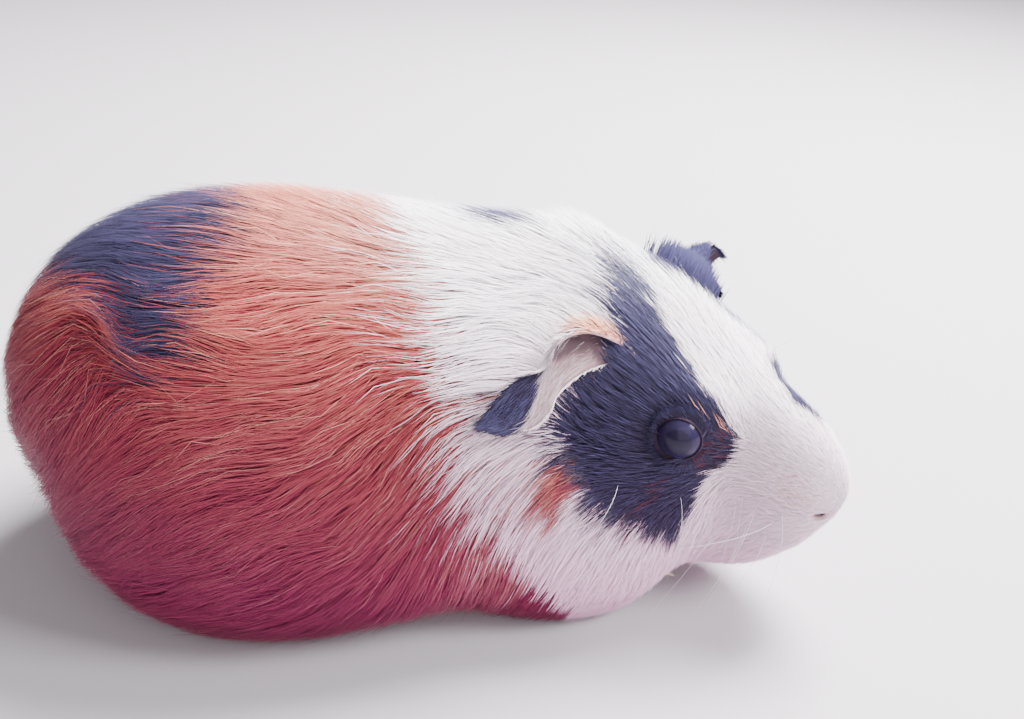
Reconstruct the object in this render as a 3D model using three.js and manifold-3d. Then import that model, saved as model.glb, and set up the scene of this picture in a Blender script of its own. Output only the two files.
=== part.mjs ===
// A guinea pig at rest, life size: a smooth-coated animal lying flat on its belly with its head turned to
// its right. The solids give the outline of the coat. Millimetres and degrees; +X is forward along the
// trunk, +Y is the animal's left, +Z is up, and the belly rests on z = 0.
import * as THREE from 'three';
import { mergeVertices } from 'three/addons/utils/BufferGeometryUtils.js';
import Module from 'manifold-3d';

const wasm = await Module();
wasm.setup();

// Driving dimensions.
const CUT = 0.4;                    // width of the thin cuts that part the body
const SKIRT = 0.3;                  // clearance of ears, eyes and claws from what they grow out of
const HEAD_AT = [37.5, -3.5, 59];   // back of the skull, on the head's own axis
const HEAD_YAW = -37;
const HEAD_PITCH = 17.5;            // positive is nose down
const HEAD_ROLL = 3;

const BLACK_COAT = new THREE.MeshStandardMaterial({ color: 0x2b2830, roughness: 0.6 });
const GINGER_COAT = new THREE.MeshStandardMaterial({ color: 0xa8552a, roughness: 0.65 });
const WHITE_COAT = new THREE.MeshStandardMaterial({ color: 0xece8e6, roughness: 0.7 });
const EYE_GLOSS = new THREE.MeshStandardMaterial({ color: 0x0b0a0d, roughness: 0.05 });
const CLAW_HORN = new THREE.MeshStandardMaterial({ color: 0xd9c7b4, roughness: 0.4 });

// Rounded masses that the trunk is blended from: centre, radii, turn, and how softly each one joins.
const TRUNK_MASSES = [
  { name: 'barrel', at: [-26, 0, 46.5], radii: [70, 51, 44], blend: 0 },
  { name: 'rump', at: [-62, 0, 47], radii: [45, 46, 43], blend: 22 },
  { name: 'haunch', at: [-47, 33.5, 28], radii: [39, 22, 29], blend: 18, paired: true },
  { name: 'belly', at: [-24, 0, 22], radii: [68, 56.5, 26.5], blend: 14 },
  { name: 'chest', at: [4, 1, 39.5], radii: [44, 42, 39.5], blend: 18 },
  { name: 'shoulder', at: [24, 28, 21], radii: [31, 21, 26], blend: 12, paired: true },
  { name: 'nape', at: [25, -1, 56.5], radii: [35, 24, 29.5], yaw: -14, pitch: 14, blend: 14 },
];

// The same for the head, on the head's own axes: +X from the skull to the nose, +Y left, +Z to the crown.
const HEAD_MASSES = [
  { name: 'cranium', at: [10.5, 0, 1], radii: [24.5, 21.5, 18.5], blend: 14 },
  { name: 'cheek', at: [20, 14, -13.5], radii: [23, 14.5, 22.5], blend: 12, paired: true },
  { name: 'ruff', at: [6, 0, -27], radii: [25, 33, 39], blend: 14 },
  { name: 'bridge', at: [36.5, 0, 1.5], radii: [28, 12, 13], pitch: 8, blend: 9 },
  { name: 'muzzle', at: [50, 0, -6.5], radii: [15, 12, 12.4], blend: 8 },
  { name: 'nose', at: [59, 0, -7.5], radii: [7.6, 7.6, 7.6], blend: 7 },
  { name: 'lip', at: [53, 5.2, -14.5], radii: [12, 7.5, 9.5], blend: 5, paired: true },
  { name: 'chin', at: [47, 0, -24], radii: [15, 10.5, 13], blend: 8 },
  { name: 'jaw', at: [30, 0, -27], radii: [24, 18, 18], blend: 10 },
  { name: 'brow', at: [29, 13, 5.5], radii: [9.5, 6, 7], blend: 7, paired: true },
];

// The line that the body is skinned around: trunk points, then points on the head's axes.
const TRUNK_LINE = [[-66, 0, 44], [-38, 0, 45], [-10, 0, 46], [10, -1.6, 47], [29, -6.3, 47.2],
  [47.5, -14, 45.5]];
const HEAD_LINE = [[36, -1, -7], [54, 0, -5]];
const RUMP_SHARE = 0.24;            // share of the stations that close the rump
const NOSE_SHARE = 0.13;            // share of the stations that close the nose
const STATIONS = 42;
const SIDES = 28;
const REACH = 140;                  // further than any skin point lies from the line

// Planes that part the trunk from the neck and the neck from the head.
const NECK_BACK = { at: [9, 0, 45], normal: [1, -0.2, 0] };
const NECK_FRONT = { at: [34, -1, 60], normal: [0.9, -0.4, -0.15] };

// Eyes, nostrils and ears, on the head's axes, given for the left side.
const EYE = { x: 29, z: 2, radius: 6.1, proud: 2.4 };
const EYE_DETAIL = 11;
const NOSTRIL = { at: [66.5, 3.6, -6.5], radii: [2.6, 1, 1.5] };
const EAR = {
  thickness: 1.3,
  // Rims and the bottom of the hollow, from inside the head out to the drooping tip.
  upperRim: [[10, 17, 12], [5.2, 27, 18.2], [2.1, 32.2, 19.5], [0.3, 38.9, 18.8],
    [1.8, 44.2, 16], [-1.4, 48.7, 13.1], [-2.7, 53.4, 8.4], [-2.6, 56, 4.6]],
  hollow: [[4, 16, 13], [1.8, 23.5, 16.8], [0, 29.8, 17.2], [0.2, 36.3, 14.6],
    [1, 41.5, 11.5], [1.3, 46, 9], [0.4, 51.2, 5.8], [-2.1, 56, 4]],
  lowerRim: [[9, 17, 8], [7.4, 28.6, 11.8], [5.9, 35.8, 11.4], [5.5, 41.5, 9.8],
    [6.5, 45.2, 7.5], [5.6, 49.2, 4.8], [2, 53.8, 3.2], [-1.6, 56, 3.4]],
  swing: { left: -10, right: 0 },   // how far each ear is turned back about the head's upright axis
  droop: { left: -12, right: 0 },   // how far it hangs, as a roll about the head's long axis
  lengthSteps: 13,
  widthSteps: 7,
};

// Limbs, given for the left side: a part of the body's mass, then what comes out under the coat.
const FORELEG = {
  name: 'foreleg',
  mass: { at: [22, 33, 14], radii: [17, 16, 20] },
  limb: [
    { at: [25, 24, 9], radii: [17, 7.5, 8], yaw: -8 },
    { at: [40, 20.5, 4.2], radii: [10, 6.4, 5] },
  ],
  toes: { count: 4, at: [48, 20, 2.6], spread: 3, fan: 9, radii: [5, 1.8, 2.5] },
  room: { at: [45, 20, 4], radii: [18, 11, 9] },
  claw: { length: 3.6, radius: 0.9 },
  coat: WHITE_COAT,
};
const HINDLEG = {
  name: 'hindleg',
  mass: { at: [-44, 37, 21], radii: [28, 17, 25] },
  limb: [
    { at: [-30, 28, 5.5], radii: [20, 7.5, 7] },
    { at: [-17, 29, 4.2], radii: [11, 7.2, 5] },
  ],
  toes: { count: 3, at: [-6, 29.5, 3], spread: 4, fan: 8, radii: [6, 2.2, 2.8] },
  room: { at: [-5, 29.5, 4], radii: [18, 9, 7] },
  claw: { length: 5, radius: 1.1 },
  coat: GINGER_COAT,
};
const LIMB_DETAIL = 8;
const MASS_DETAIL = 10;
const CLAW_LIFT = 0.5;              // lowest a claw comes to the floor

const vec = (a) => new THREE.Vector3(...a);
const mirrored = (a) => [a[0], -a[1], a[2]];

// Rotation with yaw about +Z, then nose-down pitch about +Y, then roll about +X.
function turn(yaw = 0, pitch = 0, roll = 0) {
  const angles = [roll, pitch, yaw].map(THREE.MathUtils.degToRad);
  return new THREE.Matrix4().makeRotationFromEuler(new THREE.Euler(...angles, 'ZYX'));
}

const HEAD_FRAME = turn(HEAD_YAW, HEAD_PITCH, HEAD_ROLL).setPosition(vec(HEAD_AT));
const headPoint = (a) => vec(a).applyMatrix4(HEAD_FRAME);
const headDirection = (a) => vec(a).transformDirection(HEAD_FRAME);

// Expands a table of masses into both sides of the body, each with the matrix into its own axes.
function placeMasses(table, frame) {
  const placed = [];
  for (const mass of table) {
    for (const side of mass.paired ? [1, -1] : [1]) {
      const at = [mass.at[0], mass.at[1] * side, mass.at[2]];
      const local = turn((mass.yaw ?? 0) * side, mass.pitch ?? 0).setPosition(vec(at));
      const inverse = frame.clone().multiply(local).invert();
      placed.push({ inverse: inverse.elements, radii: mass.radii, blend: mass.blend });
    }
  }
  return placed;
}

const MASSES = [
  ...placeMasses(TRUNK_MASSES, new THREE.Matrix4()),
  ...placeMasses(HEAD_MASSES, HEAD_FRAME),
];

// Rough signed distance from the coat's outline, negative inside: ellipsoids joined by soft minimums.
function outlineDistance(x, y, z) {
  let distance = Infinity;
  for (const { inverse: m, radii: [a, b, c], blend } of MASSES) {
    const u = m[0] * x + m[4] * y + m[8] * z + m[12];
    const v = m[1] * x + m[5] * y + m[9] * z + m[13];
    const w = m[2] * x + m[6] * y + m[10] * z + m[14];
    const near = Math.hypot(u / a, v / b, w / c);
    const slope = Math.hypot(u / (a * a), v / (b * b), w / (c * c)) + 1e-9;
    const own = near * (near - 1) / slope;
    const overlap = blend > 0 ? Math.max(blend - Math.abs(distance - own), 0) / blend : 0;
    distance = Math.min(distance, own) - overlap * overlap * blend / 4;
  }
  return distance;
}

// Walks from an inner point along a direction to where the outline's distance is the offset.
function skinPoint(from, direction, offset) {
  let inner = 0;
  let outer = REACH;
  for (let step = 0; step < 26; step += 1) {
    const middle = (inner + outer) / 2;
    const probe = from.clone().addScaledVector(direction, middle);
    if (outlineDistance(probe.x, probe.y, probe.z) < offset) inner = middle;
    else outer = middle;
  }
  return from.clone().addScaledVector(direction, (inner + outer) / 2);
}

function toGeometry(points, triangles) {
  const geometry = new THREE.BufferGeometry();
  const flat = points.flatMap((p) => [p.x, p.y, p.z]);
  geometry.setAttribute('position', new THREE.Float32BufferAttribute(flat, 3));
  geometry.setIndex(triangles);
  return geometry;
}

function toSolid(geometry) {
  const bare = geometry.clone();
  bare.deleteAttribute('normal');
  bare.deleteAttribute('uv');
  const merged = mergeVertices(bare, 1e-4);
  return new wasm.Manifold(new wasm.Mesh({
    numProp: 3,
    vertProperties: new Float32Array(merged.attributes.position.array),
    triVerts: new Uint32Array(merged.index.array),
  }));
}

// The largest single body of a solid, without the crumbs that a cut can leave.
function mainBody(solid) {
  return solid.decompose().reduce((best, piece) => (piece.volume() > best.volume() ? piece : best));
}

function toMesh(name, solid, material) {
  const { vertProperties, triVerts } = mainBody(solid).getMesh();
  const geometry = new THREE.BufferGeometry();
  geometry.setAttribute('position', new THREE.BufferAttribute(new Float32Array(vertProperties), 3));
  geometry.setIndex(new THREE.BufferAttribute(new Uint32Array(triVerts), 1));
  geometry.computeVertexNormals();
  const mesh = new THREE.Mesh(geometry, material);
  mesh.name = name;
  return mesh;
}

// Skins the whole body: stations run along the line, with a dome of rays at the rump and at the nose.
function bodySolid(offset) {
  const line = new THREE.CatmullRomCurve3([...TRUNK_LINE.map(vec), ...HEAD_LINE.map(headPoint)]);
  const up = new THREE.Vector3(0, 0, 1);
  const points = [];
  for (let i = 0; i <= STATIONS; i += 1) {
    const s = i / STATIONS;
    const along = THREE.MathUtils.clamp((s - RUMP_SHARE) / (1 - RUMP_SHARE - NOSE_SHARE), 0, 1);
    const rumpTilt = Math.min(s / RUMP_SHARE - 1, 0);
    const noseTilt = Math.max((s - 1) / NOSE_SHARE + 1, 0);
    const tilt = (rumpTilt + noseTilt) * Math.PI / 2;
    const centre = line.getPoint(along);
    const forward = line.getTangent(along);
    const left = new THREE.Vector3().crossVectors(up, forward).normalize();
    const above = new THREE.Vector3().crossVectors(forward, left);
    const pole = i === 0 || i === STATIONS;
    for (let j = 0; j < (pole ? 1 : SIDES); j += 1) {
      const angle = 2 * Math.PI * j / SIDES;
      const ray = above.clone().multiplyScalar(Math.cos(angle) * Math.cos(tilt));
      ray.addScaledVector(left, Math.sin(angle) * Math.cos(tilt));
      ray.addScaledVector(forward, Math.sin(tilt));
      points.push(skinPoint(centre, ray.normalize(), offset));
    }
  }
  return toSolid(toGeometry(points, ringTriangles(STATIONS, SIDES)));
}

// Triangles of rings that run between two poles.
function ringTriangles(stations, sides) {
  const ring = (i, j) => 1 + (i - 1) * sides + (j % sides);
  const last = 1 + (stations - 1) * sides;
  const triangles = [];
  for (let j = 0; j < sides; j += 1) {
    triangles.push(0, ring(1, j), ring(1, j + 1));
    triangles.push(last, ring(stations - 1, j + 1), ring(stations - 1, j));
    for (let i = 1; i < stations - 1; i += 1) {
      triangles.push(ring(i, j), ring(i + 1, j), ring(i + 1, j + 1));
      triangles.push(ring(i, j), ring(i + 1, j + 1), ring(i, j + 1));
    }
  }
  return triangles;
}

// An ellipsoid with its radii grown by a clearance.
function ellipsoid({ at, radii, yaw = 0, pitch = 0 }, { grow = 0, side = 1, frame, detail = 18 } = {}) {
  const geometry = new THREE.SphereGeometry(1, detail, Math.round(detail * 0.66));
  geometry.scale(...radii.map((r) => r + grow));
  geometry.applyMatrix4(turn(yaw * side, pitch).setPosition(vec([at[0], at[1] * side, at[2]])));
  if (frame) geometry.applyMatrix4(frame);
  return toSolid(geometry);
}

// Everything on one side of a plane, as a large block whose face lies on the plane.
function halfSpace({ at, normal }, shift = 0) {
  const size = 400;
  const geometry = new THREE.BoxGeometry(size, size, size);
  geometry.translate(0, 0, size / 2);
  const direction = vec(normal).normalize();
  geometry.applyQuaternion(new THREE.Quaternion().setFromUnitVectors(new THREE.Vector3(0, 0, 1), direction));
  geometry.translate(...vec(at).addScaledVector(direction, shift).toArray());
  return toSolid(geometry);
}

// One ear: a cupped sheet swept from its root to its tip, each cross-section an arc from the upper rim
// through the bottom of the hollow to the lower rim.
function earSolid(side, swing, droop) {
  const { lengthSteps, widthSteps, thickness } = EAR;
  const pivot = vec(EAR.hollow[0]);
  const pose = turn(swing, 0, droop);
  const place = (a) => {
    const p = vec(a).sub(pivot).applyMatrix4(pose).add(pivot);
    return p.setY(p.y * side).applyMatrix4(HEAD_FRAME);
  };
  const curve = (points) => new THREE.CatmullRomCurve3(points.map(place));
  const [upper, hollow, lower] = [EAR.upperRim, EAR.hollow, EAR.lowerRim].map(curve);
  const sections = [];
  for (let i = 0; i <= lengthSteps; i += 1) {
    const t = i / lengthSteps;
    const [from, middle, to] = [upper, hollow, lower].map((c) => c.getPoint(t));
    const pull = middle.multiplyScalar(2).addScaledVector(from, -0.5).addScaledVector(to, -0.5);
    sections.push(new THREE.QuadraticBezierCurve3(from, pull, to).getPoints(widthSteps));
  }
  const front = sections.flat();
  const back = front.map((p, k) => {
    const i = Math.floor(k / (widthSteps + 1));
    const j = k % (widthSteps + 1);
    const [i0, i1] = [Math.max(i - 1, 0), Math.min(i + 1, lengthSteps)];
    const [j0, j1] = [Math.max(j - 1, 0), Math.min(j + 1, widthSteps)];
    const along = sections[i1][j].clone().sub(sections[i0][j]);
    const across = sections[i][j1].clone().sub(sections[i][j0]);
    return p.clone().addScaledVector(along.cross(across).normalize(), thickness * side);
  });
  return sheetSolid(front, back, lengthSteps, widthSteps, side > 0);
}

// A closed sheet from two grids of points, one on each face.
function sheetSolid(front, back, rows, columns, flip) {
  const at = (layer, i, j) => layer * front.length + i * (columns + 1) + j;
  const triangles = [];
  const quad = (a, b, c, d) => triangles.push(...(flip ? [a, c, b, a, d, c] : [a, b, c, a, c, d]));
  for (let i = 0; i < rows; i += 1) {
    for (let j = 0; j < columns; j += 1) {
      quad(at(0, i, j), at(0, i + 1, j), at(0, i + 1, j + 1), at(0, i, j + 1));
      quad(at(1, i, j), at(1, i, j + 1), at(1, i + 1, j + 1), at(1, i + 1, j));
    }
    quad(at(0, i, 0), at(1, i, 0), at(1, i + 1, 0), at(0, i + 1, 0));
    quad(at(0, i, columns), at(0, i + 1, columns), at(1, i + 1, columns), at(1, i, columns));
  }
  for (let j = 0; j < columns; j += 1) {
    quad(at(0, 0, j), at(0, 0, j + 1), at(1, 0, j + 1), at(1, 0, j));
    quad(at(0, rows, j), at(1, rows, j), at(1, rows, j + 1), at(0, rows, j + 1));
  }
  return toSolid(toGeometry([...front, ...back], triangles));
}

// Centre of an eye: along the head's side axis, where the ball stands proud of the coat as given.
function eyeCentre(side) {
  const axis = headPoint([EYE.x, 0, EYE.z]);
  return skinPoint(axis, headDirection([0, side, 0]), EYE.proud - EYE.radius);
}

function ball(centre, radius, detail) {
  return toSolid(new THREE.SphereGeometry(radius, detail, Math.round(detail * 0.66)).translate(...centre));
}

// The toes of one foot as ellipsoid tables, fanned out about the foot's own direction.
function toeTables({ count, at, spread, fan, radii }) {
  const toes = [];
  for (let i = 0; i < count; i += 1) {
    const place = i - (count - 1) / 2;
    const drop = Math.abs(place) * 1.2;
    toes.push({ at: [at[0] - drop, at[1] + place * spread, at[2]], radii, yaw: place * fan });
  }
  return toes;
}

// A leg: its share of the body's mass, and the foot that comes out from under the coat.
function legSolid(leg, side) {
  const toes = toeTables(leg.toes).map((table) => ellipsoid(table, { side, detail: 6 }));
  const lower = leg.limb.map((table) => ellipsoid(table, { side, detail: LIMB_DETAIL }));
  const mass = ellipsoid(leg.mass, { side, detail: MASS_DETAIL }).intersect(body);
  return [...lower, ...toes].reduce((whole, piece) => whole.add(piece), mass).intersect(aboveFloor);
}

// What the trunk and the neck give way to: the leg grown by a cut's width, and room ahead for its toes.
function legClearance(leg, side) {
  const mass = ellipsoid(leg.mass, { grow: CUT, side, detail: MASS_DETAIL });
  const lower = leg.limb.map((table) => ellipsoid(table, { grow: CUT, side, detail: LIMB_DETAIL }));
  return [...lower, ellipsoid(leg.room, { side, detail: LIMB_DETAIL })].reduce((a, b) => a.add(b), mass);
}

function clawSolid(leg, toe, side) {
  const { length, radius } = leg.claw;
  const geometry = new THREE.ConeGeometry(radius, length, 7, 2);
  const places = geometry.attributes.position;
  for (let i = 0; i < places.count; i += 1) {
    const tip = places.getY(i) / length + 0.5;
    places.setZ(i, places.getZ(i) * 1.3 + tip * tip * radius);
  }
  geometry.rotateZ(-Math.PI / 2);
  geometry.rotateX(Math.PI);
  geometry.translate(length / 2 + toe.radii[0] + SKIRT, 0, 0);
  geometry.applyMatrix4(turn(toe.yaw * side).setPosition(toe.at[0], toe.at[1] * side, toe.at[2] + 0.2));
  geometry.computeBoundingBox();
  geometry.translate(0, 0, Math.max(CLAW_LIFT - geometry.boundingBox.min.z, 0));
  return toSolid(geometry);
}

const guineaPig = new THREE.Group();
const aboveFloor = halfSpace({ at: [0, 0, 0], normal: [0, 0, 1] });
const body = bodySolid(0).intersect(aboveFloor);
const coatClearance = bodySolid(SKIRT);

// Limbs first, because the trunk, the neck and the head give way to them.
let flesh = body;
for (const leg of [FORELEG, HINDLEG]) {
  for (const [side, sideName] of [[1, 'left'], [-1, 'right']]) {
    guineaPig.add(toMesh(`${leg.name}_${sideName}`, legSolid(leg, side), leg.coat));
    flesh = flesh.subtract(legClearance(leg, side));
    toeTables(leg.toes).forEach((toe, i) => {
      guineaPig.add(toMesh(`claw_${leg.name}_${sideName}_${i + 1}`, clawSolid(leg, toe, side), CLAW_HORN));
    });
  }
}

guineaPig.add(toMesh('trunk', flesh.subtract(halfSpace(NECK_BACK, -CUT / 2)), GINGER_COAT));
const frontOfTrunk = flesh.intersect(halfSpace(NECK_BACK, CUT / 2));
guineaPig.add(toMesh('neck', frontOfTrunk.subtract(halfSpace(NECK_FRONT, -CUT / 2)), WHITE_COAT));

let head = frontOfTrunk.intersect(halfSpace(NECK_FRONT, CUT / 2));
for (const [side, sideName] of [[1, 'left'], [-1, 'right']]) {
  const centre = eyeCentre(side);
  guineaPig.add(toMesh(`eye_${sideName}`, ball(centre, EYE.radius, EYE_DETAIL), EYE_GLOSS));
  head = head.subtract(ball(centre, EYE.radius + SKIRT, EYE_DETAIL));
  head = head.subtract(ellipsoid(NOSTRIL, { side, frame: HEAD_FRAME, detail: 6 }));
  const ear = earSolid(side, EAR.swing[sideName], EAR.droop[sideName]).subtract(coatClearance);
  guineaPig.add(toMesh(`ear_${sideName}`, ear, BLACK_COAT));
}
guineaPig.add(toMesh('head', head, WHITE_COAT));

export default guineaPig;
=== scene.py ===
"""A guinea pig at rest, life size: skin, coat, eyes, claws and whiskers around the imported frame."""
import functools
import math

import bmesh
import bpy
import numpy as np
from bpy.props import FloatProperty, FloatVectorProperty, IntProperty, PointerProperty
from bpy.types import Operator, Panel, PropertyGroup
from mathutils import Matrix, Vector
from mathutils.kdtree import KDTree


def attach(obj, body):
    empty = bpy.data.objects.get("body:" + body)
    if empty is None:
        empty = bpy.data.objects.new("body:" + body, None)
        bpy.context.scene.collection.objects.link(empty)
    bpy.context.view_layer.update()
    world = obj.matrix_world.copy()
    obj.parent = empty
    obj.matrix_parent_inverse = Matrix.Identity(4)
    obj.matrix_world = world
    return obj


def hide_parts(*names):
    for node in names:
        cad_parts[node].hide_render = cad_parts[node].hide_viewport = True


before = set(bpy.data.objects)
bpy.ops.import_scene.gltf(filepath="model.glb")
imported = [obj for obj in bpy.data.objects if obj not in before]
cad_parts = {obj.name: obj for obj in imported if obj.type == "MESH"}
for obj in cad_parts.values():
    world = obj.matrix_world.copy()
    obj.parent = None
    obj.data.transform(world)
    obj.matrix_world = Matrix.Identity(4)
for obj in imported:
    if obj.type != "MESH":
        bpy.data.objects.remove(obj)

bl_info = {
    "name": "Guinea Pig Look",
    "version": (1, 0, 0),
    "blender": (4, 5, 0),
    "location": "View3D > Sidebar > Guinea Pig",
    "description": "Builds the skin, coat, eyes, claws and whiskers of a resting guinea pig",
    "category": "Object",
}

MM = 0.001
FLOOR_CLEARANCE = 0.3                            # lowest that hair and feet come, in millimetres
CAMERA_TARGET = (0.0166, 0.0255, 0.03705)
CAMERA_DISTANCE = 0.302
CAMERA_ANGLES = (-7.3, 28.0, 3.2)                # azimuth, height and roll, in degrees
CAMERA_LENS = 38.04                              # millimetres, on a 36 mm sensor
# Lamps: place, size in metres, power in watts, colour.
LIGHTS = {
    "key_light": ((0.36, 0.34, 0.76), 0.5, 63.0, (1.0, 0.99, 1.0)),
    "fill_light": ((0.10, -0.85, 0.50), 1.0, 7.0, (1.0, 0.93, 0.97)),
    "window_light": ((0.60, -0.30, 0.62), 0.28, 11.0, (0.95, 0.97, 1.0)),
}
LIT_POINT = (0, 0, 0.04)
PAPER_FRONT, PAPER_BACK, PAPER_BEND, PAPER_TOP, PAPER_HALF = -1.6, 1.3, 0.5, 2.4, 2.6    # metres
ROOM_COLOUR, ROOM_STRENGTH = (0.93, 0.93, 0.97, 1), 0.45
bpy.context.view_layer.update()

# ---- The form of the body, in millimetres: +X forward, +Y left, +Z up, the belly on the floor ----

HEAD_AT = np.array([37.5, -3.5, 59.0])
HEAD_YAW, HEAD_PITCH, HEAD_ROLL = -37.0, 17.5, 3.0

# Each mass: centre, radii, yaw, pitch, how softly it joins, and whether it has a twin on the other side.
TRUNK_MASSES = (
    ((-26, 0, 46.5), (70, 51, 44), 0, 0, 0, False),
    ((-62, 0, 47), (45, 46, 43), 0, 0, 22, False),
    ((-47, 33.5, 28), (39, 22, 29), 0, 0, 18, True),
    ((-24, 0, 22), (68, 56.5, 26.5), 0, 0, 14, False),
    ((4, 1, 39.5), (44, 42, 39.5), 0, 0, 18, False),
    ((24, 28, 21), (31, 21, 26), 0, 0, 12, True),
    ((25, -1, 56.5), (35, 24, 29.5), -14, 14, 14, False),
)
HEAD_MASSES = (
    ((10.5, 0, 1), (24.5, 21.5, 18.5), 0, 0, 14, False),
    ((20, 14, -13.5), (23, 14.5, 22.5), 0, 0, 12, True),
    ((6, 0, -27), (25, 33, 39), 0, 0, 14, False),
    ((36.5, 0, 1.5), (28, 12, 13), 0, 8, 9, False),
    ((50, 0, -6.5), (15, 12, 12.4), 0, 0, 8, False),
    ((59, 0, -7.5), (7.6, 7.6, 7.6), 0, 0, 7, False),
    ((53, 5.2, -14.5), (12, 7.5, 9.5), 0, 0, 5, True),
    ((47, 0, -24), (15, 10.5, 13), 0, 0, 8, False),
    ((30, 0, -27), (24, 18, 18), 0, 0, 10, False),
    ((29, 13, 5.5), (9.5, 6, 7), 0, 0, 7, True),
)
TRUNK_LINE = ((-66, 0, 44), (-38, 0, 45), (-10, 0, 46), (10, -1.6, 47), (29, -6.3, 47.2), (47.5, -14, 45.5))
HEAD_LINE = ((36, -1, -7), (54, 0, -5))
RUMP_SHARE = 0.24
NOSE_SHARE = 0.13
RAY_LENGTH = 140.0                               # longer than the way out from the line inside the body
BODY_HALVINGS, EYE_HALVINGS = 20, 30             # how finely a place on a ray is found


def turn(yaw=0.0, pitch=0.0, roll=0.0):
    """Rotation matrix: yaw about +Z, then nose-down pitch about +Y, then roll about +X."""
    y, p, r = (math.radians(a) for a in (yaw, pitch, roll))
    about_z = np.array([[math.cos(y), -math.sin(y), 0], [math.sin(y), math.cos(y), 0], [0, 0, 1]])
    about_y = np.array([[math.cos(p), 0, math.sin(p)], [0, 1, 0], [-math.sin(p), 0, math.cos(p)]])
    about_x = np.array([[1, 0, 0], [0, math.cos(r), -math.sin(r)], [0, math.sin(r), math.cos(r)]])
    return about_z @ about_y @ about_x


HEAD_TURN = turn(HEAD_YAW, HEAD_PITCH, HEAD_ROLL)


def from_head(points):
    """Places on the head's own axes, in the body's axes."""
    return HEAD_AT + np.asarray(points, float) @ HEAD_TURN.T


def to_head(points):
    """Places in the body's axes, on the head's own axes."""
    return (np.asarray(points, float) - HEAD_AT) @ HEAD_TURN


def placed_masses():
    """Every mass on both sides, in the body's axes."""
    placed = []
    for table, on_head in ((TRUNK_MASSES, False), (HEAD_MASSES, True)):
        for centre, radii, yaw, pitch, blend, paired in table:
            for side in (1, -1) if paired else (1,):
                at = np.array([centre[0], centre[1] * side, centre[2]], float)
                axes = turn(yaw * side, pitch)
                if on_head:
                    at, axes = from_head(at), HEAD_TURN @ axes
                placed.append((at, axes, np.array(radii, float), blend))
    return placed


MASSES = placed_masses()


def outline(points, masses=MASSES):
    """Rough signed distance from the coat's outline, negative inside: ellipsoids joined by soft minimums."""
    distance = None
    for at, axes, radii, blend in masses:
        local = (points - at) @ axes / radii
        near = np.sqrt((local ** 2).sum(-1))
        slope = np.sqrt(((local / radii) ** 2).sum(-1)) + 1e-9
        own = near * (near - 1) / slope
        if distance is None:
            distance = own
            continue
        overlap = np.maximum(blend - np.abs(distance - own), 0) / blend
        distance = np.minimum(distance, own) - overlap ** 2 * blend / 4
    return distance


def unit(vectors):
    """The vectors at length 1."""
    return vectors / (np.linalg.norm(vectors, axis=-1, keepdims=True) + 1e-12)


def ease(value, low, high):
    """0 below low, 1 above high, smooth between."""
    f = np.clip((value - low) / (high - low), 0, 1)
    return f * f * (3 - 2 * f)


def fade(offset, reach, power=2):
    """1 where there is no offset, falling smoothly to 0 past the reach."""
    return np.exp(-np.linalg.norm(offset / np.asarray(reach, float), axis=-1) ** power)


def through(points, places):
    """Points and directions of a smooth curve through the given points, at places from 0 to 1."""
    points = np.asarray(points, float)
    places = np.asarray(places, float) * (len(points) - 1)
    i = np.clip(np.floor(places).astype(int), 0, len(points) - 2)
    f = (places - i)[:, None]
    ends = np.vstack([2 * points[0] - points[1], points, 2 * points[-1] - points[-2]])
    a, b, c, d = ends[i], ends[i + 1], ends[i + 2], ends[i + 3]
    curve = 2 * b + (c - a) * f + (2 * a - 5 * b + 4 * c - d) * f ** 2 + (3 * b - a - 3 * c + d) * f ** 3
    slope = (c - a) + 2 * (2 * a - 5 * b + 4 * c - d) * f + 3 * (3 * b - a - 3 * c + d) * f ** 2
    return curve / 2, unit(slope)


def body_rays(stations, sides):
    """Ray origins and directions from the line inside the body, with a dome of rays at each end."""
    line = np.vstack([np.array(TRUNK_LINE, float), from_head(HEAD_LINE)])
    s = np.linspace(0, 1, stations)
    places = np.clip((s - RUMP_SHARE) / (1 - RUMP_SHARE - NOSE_SHARE), 0, 1)
    tilt = (np.minimum(s / RUMP_SHARE - 1, 0) + np.maximum((s - 1) / NOSE_SHARE + 1, 0)) * math.pi / 2
    centre, forward = through(line, places)
    left = unit(np.cross((0, 0, 1), forward))
    above = np.cross(forward, left)
    angle = np.linspace(0, 2 * math.pi, sides, endpoint=False)[None, :, None]
    across = np.cos(angle) * above[:, None] + np.sin(angle) * left[:, None]
    tilt = tilt[:, None, None]
    rays = across * np.cos(tilt) + forward[:, None] * np.sin(tilt)
    return np.broadcast_to(centre[:, None], rays.shape), rays


def shoot(origins, rays, level):
    """Walks each ray to where the outline's distance equals the level."""
    inner = np.zeros(rays.shape[:-1])
    outer = np.full(rays.shape[:-1], RAY_LENGTH)
    for _ in range(BODY_HALVINGS):
        middle = (inner + outer) / 2
        inside = outline(origins + rays * middle[..., None]) < level
        inner = np.where(inside, middle, inner)
        outer = np.where(inside, outer, middle)
    return origins + rays * ((inner + outer) / 2)[..., None]


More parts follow.
